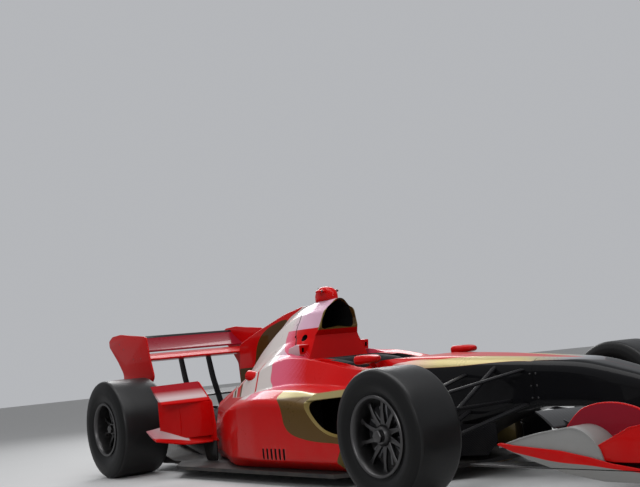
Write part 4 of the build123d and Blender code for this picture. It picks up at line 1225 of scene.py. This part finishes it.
def padOut(piece, swell, voxel=5.0):
    # foam under cloth: the form is remeshed evenly, blown out a little, and smoothed
    step = piece.modifiers.new("grid", "REMESH")
    step.mode, step.voxel_size = "VOXEL", voxel * mm
    bake(piece)
    before = np.array([v.co[:] for v in piece.data.vertices])
    cloth = piece.modifiers.new("foam", "CLOTH")
    cloth.settings.use_pressure = True
    cloth.settings.uniform_pressure_force = 4
    cloth.settings.effector_weights.gravity = 0
    for moment in range(1, 21):
        scene.frame_set(moment)
    bake(piece)
    scene.frame_set(1)
    moved = np.array([v.co[:] for v in piece.data.vertices]) - before
    length = np.linalg.norm(moved, axis=1, keepdims=True)
    moved *= np.minimum(1.0, swell * mm / np.maximum(length, 1e-9))
    piece.data.vertices.foreach_set("co", (before + moved).ravel())
    piece.data.update()
    step = piece.modifiers.new("finer", "SUBSURF")
    step.levels = step.render_levels = 1
    bake(piece)
    return piece


def settlePad(piece):
    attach(piece, "chassis")
    piece.data.shade_smooth()


def buildCollar():
    outer = roundedLoop(cockpit["collarOut"], [50, 90, 30, 30, 90, 50], 8, 4)
    inner = roundedLoop(cockpit["collarIn"], [60, 90, 10, 10, 90, 60], 8, 4)
    collar = slab("collar", outer, cockpit["collarLow"], cockpit["collarHigh"], "z", "padCloth")
    hole = slab("collarHole", inner, 500, 700, "z", "padCloth")
    dip = rimDip("collarDip")
    dip.data.transform(Matrix.Translation((0, 0, -8 * mm)))
    carve(collar, hole, dip)
    soften(collar, 12, 3, 50)
    padOut(collar, cockpit["swell"])
    settlePad(collar)
    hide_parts("cockpit_surround")


def buildSeat():
    wide, thick = cockpit["seatHalf"], cockpit["seatSideHalf"]
    form = slab("seatForm", cockpit["seatFace"] + cockpit["seatUnder"], -wide, wide, "y", "weaveGloss")
    carve(form, *pairOf("seatSide", cockpit["seatWing"], wide, thick, "weaveGloss"), operation="UNION")
    settle(soften(form, 2.5, 2, 50), stands=["seat"])
    for name, half in cockpit["padHalf"].items():
        pad = soften(slab(name, cockpit[name], -half, half, "y", "padCloth"), 5, 3, 50)
        settlePad(padOut(pad, cockpit["swell"]))


def strap(name, points, width, look, thick=2.6):
    # flat webbing whose width lies square to its run and to the seat below it
    points = [Vector(p) for p in points]
    knots = [2 * points[0] - points[1]] + points + [2 * points[-1] - points[-2]]
    line = []
    for i in range(1, len(knots) - 2):
        a, b, c, d = knots[i - 1:i + 3]
        for t in np.linspace(0, 1, 9)[:-1].tolist():
            line.append(0.5 * (2 * b + (c - a) * t + (2 * a - 5 * b + 4 * c - d) * t * t
                               + (3 * b - a - 3 * c + d) * t ** 3))
    line.append(points[-1])
    rings = []
    for i, spot in enumerate(line):
        run = (line[min(i + 1, len(line) - 1)] - line[max(i - 1, 0)]).normalized()
        lift = Vector(cockpit["beltsFace"])
        lift = (lift - run * lift.dot(run)).normalized()
        side = run.cross(lift)
        w, h = width / 2, thick / 2
        ring = [(-w, 0), (-w + 1, -h), (w - 1, -h), (w, 0), (w - 1, h), (-w + 1, h)]
        rings.append([tuple(spot + side * u + lift * v) for u, v in ring])
    return skinned(name, rings, look)


def buildBelts():
    for kind, (points, width) in cockpit["straps"].items():
        bothSides(strap(kind, points, width, "webbing"), f"{kind}Strap", sharp=50)
    x, z = cockpit["buckleAt"]
    along, level, lift = cockpit["beltsFace"]

    def facing(u, v, rise):
        return x + rise * along + u * lift, v + rise * level, z + rise * lift - u * along
    settle(turnedForm("beltBuckle", cockpit["buckle"], facing, "castAlloy", 40))


def onWheelPlane(piece):
    # from the steering wheel's own plane (across, up, towards the driver) to the car
    spec = cockpit["wheel"]
    lean = radians(spec["lean"])
    out = Vector((-cos(lean), 0, sin(lean)))
    across = Vector((0, 1, 0))
    lift = across.cross(out) * -1
    turned = Matrix((across, lift, out)).transposed().to_4x4()
    piece.data.transform(Matrix.Translation(Vector(spec["centre"]) * mm) @ turned)
    return piece


def buildSteeringWheel():
    spec = cockpit["wheel"]
    w, h, deep = spec["wide"] / 2, spec["high"] / 2, spec["thick"]
    rim = roundedBox(-w, w, -h, h, 55, 12, 4)
    form = soften(slab("steeringWheel", rim, 0, deep, "z", "grip"), 8, 4, 60)
    at, half, tall = spec["handHole"]
    holes = [roundedBox(side * at - half, side * at + half, -tall, tall, 18, 8, 2) for side in (-1, 1)]
    carve(form, *[slab("handHole", outline, -20, 60, "z", "grip") for outline in holes])
    settle(onWheelPlane(form), stands=["steering_wheel"], slot="grip")
    panel = roundedBox(-54, 54, -62, 62, 22, 8, 2)
    face = plate("wheelFace", panel, deep - 1, deep + 4, "z", "weaveGloss", 2)
    settle(onWheelPlane(face))
    screen = plate("wheelDisplay", spec["display"], deep + 3, deep + 6.5, "z", "lensBlack", 1.2, [5] * 4)
    settle(onWheelPlane(screen))
    for i, (x, y, radius, look) in enumerate(spec["knobs"]):
        rows = [(rise, radius * grow) for rise, grow in ((0, 1.0), (6, 1.0), (8, 0.85), (8.5, 0.5))]
        knob = turnedForm(f"wheelKnob{i}", rows, lambda u, v, rise: (x + u, y + v, deep + 3 + rise), look, 24)
        settle(onWheelPlane(knob), slot="grip")
    settle(onWheelPlane(rod("wheelHub", *spec["hub"], "castAlloy", 40)))
    settle(rod("steeringColumn", *spec["column"], "steel"))


buildCollar()
buildSeat()
buildBelts()
buildSteeringWheel()
print("cockpit made")


# Wheels and tyres

wheels = {
    # node stem: axle x z, outer radius, outer face, width, face of the spokes
    "front": {"x": 1215, "z": 292, "radius": 292, "face": 940, "width": 265, "web": 868},
    "rear": {"x": -1785, "z": 325, "radius": 325, "face": 890, "width": 350, "web": 790},
    "bead": 166, "lip": 178, "wall": 9, "spokes": 10, "ribs": 18,
    # a spoke's radius, half width, depth and set back, and the outlines of the hub, nut, disc and rib
    "spoke": [(38, 16, 20, 6), (70, 12, 17, 3), (110, 9, 14, 0), (140, 9, 15, 2), (159, 15, 22, 6)],
    "spokeSweep": 16,
    "hub": [(24.4, 0), (44, -2), (50, 6), (46, 26), (36, 38), (24.4, 38)],
    "nut": [(36, 30), (54, 30), (58, 25.8)],
    "disc": [(62, 747), (126, 747), (128, 749), (128, 765), (126, 767), (62, 767)],
    "rib": [(58, 2), (62, 3.5), (126, 5.5), (130, 4)], "ribFaces": (849, 853.5),
}


def wearTread(tyre, w):
    # the faces that meet the road get the tread's finish
    tyre.data.materials.append(looks["tread"])
    for face in tyre.data.polygons:
        reach = ((face.center.x / mm - w["x"]) ** 2 + (face.center.z / mm - w["z"]) ** 2) ** 0.5
        face.material_index = 1 if reach > w["radius"] - 9 else 0


def lathe(name, profile, x, z, look, steps):
    # turns (radius, y) points about an axle along y
    size = len(profile)
    corners, faces = [], []
    for i in range(steps):
        a = 2 * pi * i / steps
        corners += [((x + r * cos(a)) * mm, y * mm, (z + r * sin(a)) * mm) for r, y in profile]
    for i in range(steps):
        for j in range(size):
            a, b = i * size + j, i * size + (j + 1) % size
            c, d = ((i + 1) % steps) * size + (j + 1) % size, ((i + 1) % steps) * size + j
            faces.append((a, b, c, d))
    return newPiece(name, corners, faces, look)


def tyreProfile(w):
    radius, face, inner = w["radius"], w["face"], w["face"] - w["width"]
    seatIn, seatOut, middle = inner + 22, face - 18, face - w["width"] / 2
    half = [(wheels["bead"], seatOut), (wheels["lip"] + 4, seatOut)]
    side = arcThrough((wheels["lip"] + 8, seatOut + 0.5), (radius - 62, face), (radius - 22, face - 9), 14)
    # two fine ribs run round the wall
    for at in (4, 9):
        r, y = side[at]
        side[at] = (r, y - 0.9)
    half += side
    half += arcThrough((radius - 22, face - 9), (radius - 6, face - 20), (radius - 1, face - 34), 7)[1:]
    half += [(radius - 0.5, middle + w["width"] * 0.2), (radius, middle)]
    other = [(r, 2 * middle - y) for r, y in reversed(half[:-1])]
    other[-1] = (wheels["bead"], seatIn)
    other[-2] = (wheels["lip"] + 4, seatIn)
    return half + other


def rimProfile(w):
    face, inner = w["face"], w["face"] - w["width"]
    seatIn, seatOut = inner + 22, face - 18
    bead, lip, wall = wheels["bead"], wheels["lip"], wheels["bead"] - wheels["wall"]
    inLip, outLip = seatIn - 9, seatOut + 9
    return [(wall, inLip + 3), (wall + 3, inLip), (lip - 3, inLip), (lip, inLip + 3), (lip, seatIn - 0.2),
            (bead - 0.2, seatIn), (bead - 0.2, seatOut), (lip, seatOut + 0.2), (lip, outLip - 3),
            (lip - 3, outLip), (wall + 9, outLip), (wall + 5, outLip - 4), (wall, outLip - 26),
            (wall - 1.5, w["web"] + 24), (wall - 1.5, w["web"] - 6), (wall, w["web"] - 30)]


def copiesTree(name, sizes, build):
    # copies of a shape set on points and turned, made real and given their finish
    tree, given = newGroup("GeometryNodeTree", name, {"Geometry": "Geometry", **sizes, "Look": "Material"},
                           {"Geometry": "Geometry"})
    points, shape, turn = build(tree, given)
    inputs = {"Points": points, "Instance": shape, "Rotation": turn}
    copied = fieldOf(tree, "GeometryNodeInstanceOnPoints", inputs)
    real = fieldOf(tree, "GeometryNodeRealizeInstances", {0: copied})
    dressed = fieldOf(tree, "GeometryNodeSetMaterial", {"Geometry": real, "Material": given["Look"]})
    addNode(tree, "NodeGroupOutput", {0: dressed})
    return tree


def roundAxle(tree, given):
    # the given shape turned in even steps about the axle
    line = fieldOf(tree, "GeometryNodeMeshLine", {"Count": given["Count"], "Offset": (0, 0, 0)})
    step = sums(tree, "DIVIDE", 2 * pi, given["Count"])
    turn = fieldOf(tree, "GeometryNodeInputIndex") * step
    return line, given["Geometry"], fieldOf(tree, "ShaderNodeCombineXYZ", {"Y": turn})


def screwHeads(tree, given):
    # a low domed head at every point, turned to face along the point's own direction
    ball = fieldOf(tree, "GeometryNodeMeshUVSphere", {"Segments": 20, "Rings": 12, "Radius": given["Radius"]})
    flat = fieldOf(tree, "GeometryNodeTransform", {"Geometry": ball, "Scale": (1, 1, 0.32)})
    facing = fieldOf(tree, "GeometryNodeInputNamedAttribute", {"Name": "facing"}, "Attribute",
                     data_type="FLOAT_VECTOR")
    turn = fieldOf(tree, "FunctionNodeAlignRotationToVector", {"Vector": facing}, axis="Z")
    return given["Geometry"], flat, turn


copyTrees = {"round": copiesTree("copiesRound", {"Count": "Int"}, roundAxle),
             "screws": copiesTree("screwHeads", {"Radius": "Float"}, screwHeads)}


def grown(piece, kind, look, **sizes):
    # runs one of the trees above on a piece
    step = piece.modifiers.new("copies", "NODES")
    step.node_group = copyTrees[kind]
    given = {**sizes, "Look": looks[look]}
    for item in copyTrees[kind].interface.items_tree:
        if item.in_out == "INPUT" and item.name in given:
            step[item.identifier] = given[item.name]
    bake(piece)
    return piece


def turnedCopies(piece, count, look, w):
    grown(piece, "round", look, Count=count)
    piece.data.transform(Matrix.Translation((w["x"] * mm, 0, w["z"] * mm)))
    return piece


def joined(name, parts):
    # several meshes made one
    first = parts[0]
    shell = bmesh.new()
    finishes = []
    for part in parts:
        part.data.transform(part.matrix_world)
        base = len(shell.faces)
        shell.from_mesh(part.data)
        shell.faces.ensure_lookup_table()
        matched = []
        for look in part.data.materials:
            if look not in finishes:
                finishes.append(look)
            matched.append(finishes.index(look))
        for face in shell.faces[base:]:
            at = face.material_index
            face.material_index = matched[at] if at < len(matched) else 0
    mesh = bpy.data.meshes.new(name)
    shell.to_mesh(mesh)
    shell.free()
    for look in finishes:
        mesh.materials.append(look)
    for part in parts[1:]:
        bpy.data.objects.remove(part)
    first.data = mesh
    first.name = name
    return first


def spokeShape(w):
    # one tapered spoke, rounded in section and dished towards the hub
    rings = []
    reach = wheels["spoke"][-1][0]
    for r, half, deep, back in wheels["spoke"]:
        lean = (r / reach) ** 2 * wheels["spokeSweep"]
        loop = roundedBox(-half, half, -deep / 2, deep / 2, 4, 3, 1)
        rings.append([(u + lean, w["web"] + 9 + v - back + 4, r) for u, v in loop])
    return skinned("spoke", rings, "darkAlloy")


def buildWheels(tag):
    w = wheels[tag]
    x, z, web = w["x"], w["z"], w["web"]
    tyre = lathe("tyre", tyreProfile(w), x, z, "rubber", 176)
    wearTread(tyre, w)
    barrel = lathe("barrel", rimProfile(w), x, z, "darkAlloy", 128)
    spokes = turnedCopies(spokeShape(w), wheels["spokes"], "darkAlloy", w)
    hub = lathe("hub", [(r, web + rise) for r, rise in wheels["hub"]], x, z, "darkAlloy", 64)
    nut = turnedForm("nut", wheels["nut"], lambda u, v, rise: (x + u, web + rise, z + v), "darkAlloy", 6)
    rim = joined("rim", [barrel, spokes, hub, soften(nut, 1.5, 2)])
    body = f"wheel_{tag}_{{side}}"
    bothSides(tyre, f"tyre{tag.title()}", [f"{tag}_tyre_{{side}}"], body, sharp=40)
    bothSides(rim, f"rim{tag.title()}", [f"{tag}_rim_{{side}}"], body, sharp=35)


def buildBrakes():
    # discs turn with the rear wheels; ribs stand on the front drums behind the spokes
    w = wheels["rear"]
    disc = lathe("disc", wheels["disc"], w["x"], w["z"], "steel", 96)
    bothSides(disc, "brakeDisc", body="wheel_rear_{side}")
    rings = []
    for r, half in wheels["rib"]:
        rings.append([(u, v, r) for u, v in roundedBox(-half, half, *wheels["ribFaces"], 1.2, 3, 1)])
    ribs = turnedCopies(skinned("rib", rings, "castAlloy"), wheels["ribs"], "castAlloy", wheels["front"])
    bothSides(ribs, "drumRibs", body="knuckle_{side}")


for tag in ("front", "rear"):
    buildWheels(tag)
buildBrakes()
print("wheels made")


# Fasteners

fasteners = {
    "radius": 5,
    # where a line across the car meets each piece: x, z
    "spots": {
        "sidepodLeft": [(x, 118) for x in range(-820, 560, 165)],
        "engineCover": [(-466, 872), (-500, 948), (-600, 720), (-820, 640), (-1010, 560), (-1200, 468)],
        "tubForm": [(1424, 370), (1424, 425), (1424, 480)],
        "noseCone": [(1458, 370), (1458, 425), (1458, 480)],
        "rearFenceLeft": [(-1935, 783), (-2060, 786), (-2215, 868), (-2280, 908), (-2060, 478), (-2140, 488)],
    },
}


def buildFasteners():
    spots, facing = [], []
    for name, places in fasteners["spots"].items():
        form = bmesh.new()
        form.from_mesh(bpy.data.objects[name].data)
        surface = BVHTree.FromBMesh(form)
        form.free()
        for x, z in places:
            spot, normal = surface.ray_cast(Vector((x * mm, 2, z * mm)), Vector((0, -1, 0)))[:2]
            if spot:
                normal = normal if normal.y > 0 else -normal
                spots += [tuple(spot), (spot.x, -spot.y, spot.z)]
                facing += [tuple(normal), (normal.x, -normal.y, normal.z)]
    piece = newPiece("fastenerHeads", spots, [], "darkAlloy")
    stored = piece.data.attributes.new("facing", "FLOAT_VECTOR", "POINT")
    stored.data.foreach_set("vector", np.array(facing).ravel())
    settle(grown(piece, "screws", "darkAlloy", Radius=fasteners["radius"] * mm), slot="shaft_steel", sharp=60)
    print("fasteners:", len(spots))


buildFasteners()


# Finishes for the solids that stay

dress = {
    "weaveGloss": ["bargeboards"],
    "armBlack": ["steering_rack", "front_wishbones_left", "front_wishbones_right", "rear_wishbones_left",
                 "rear_wishbones_right"],
    "crashPaint": ["crash_box"],
    "weaveMatt": ["floor", "diffuser", "front_upright_left", "front_upright_right", "rear_upright_left",
                  "rear_upright_right"],
    "core": ["radiators"],
    "plank": ["skid_plank"],
    "castAlloy": ["gearbox", "engine_block"],
    "steel": ["driveshaft_left", "driveshaft_right"],
}
for look, names in dress.items():
    for name in names:
        for spot in nodes[name].material_slots:
            spot.material = looks[look]
print("solids dressed")

print("scene done")
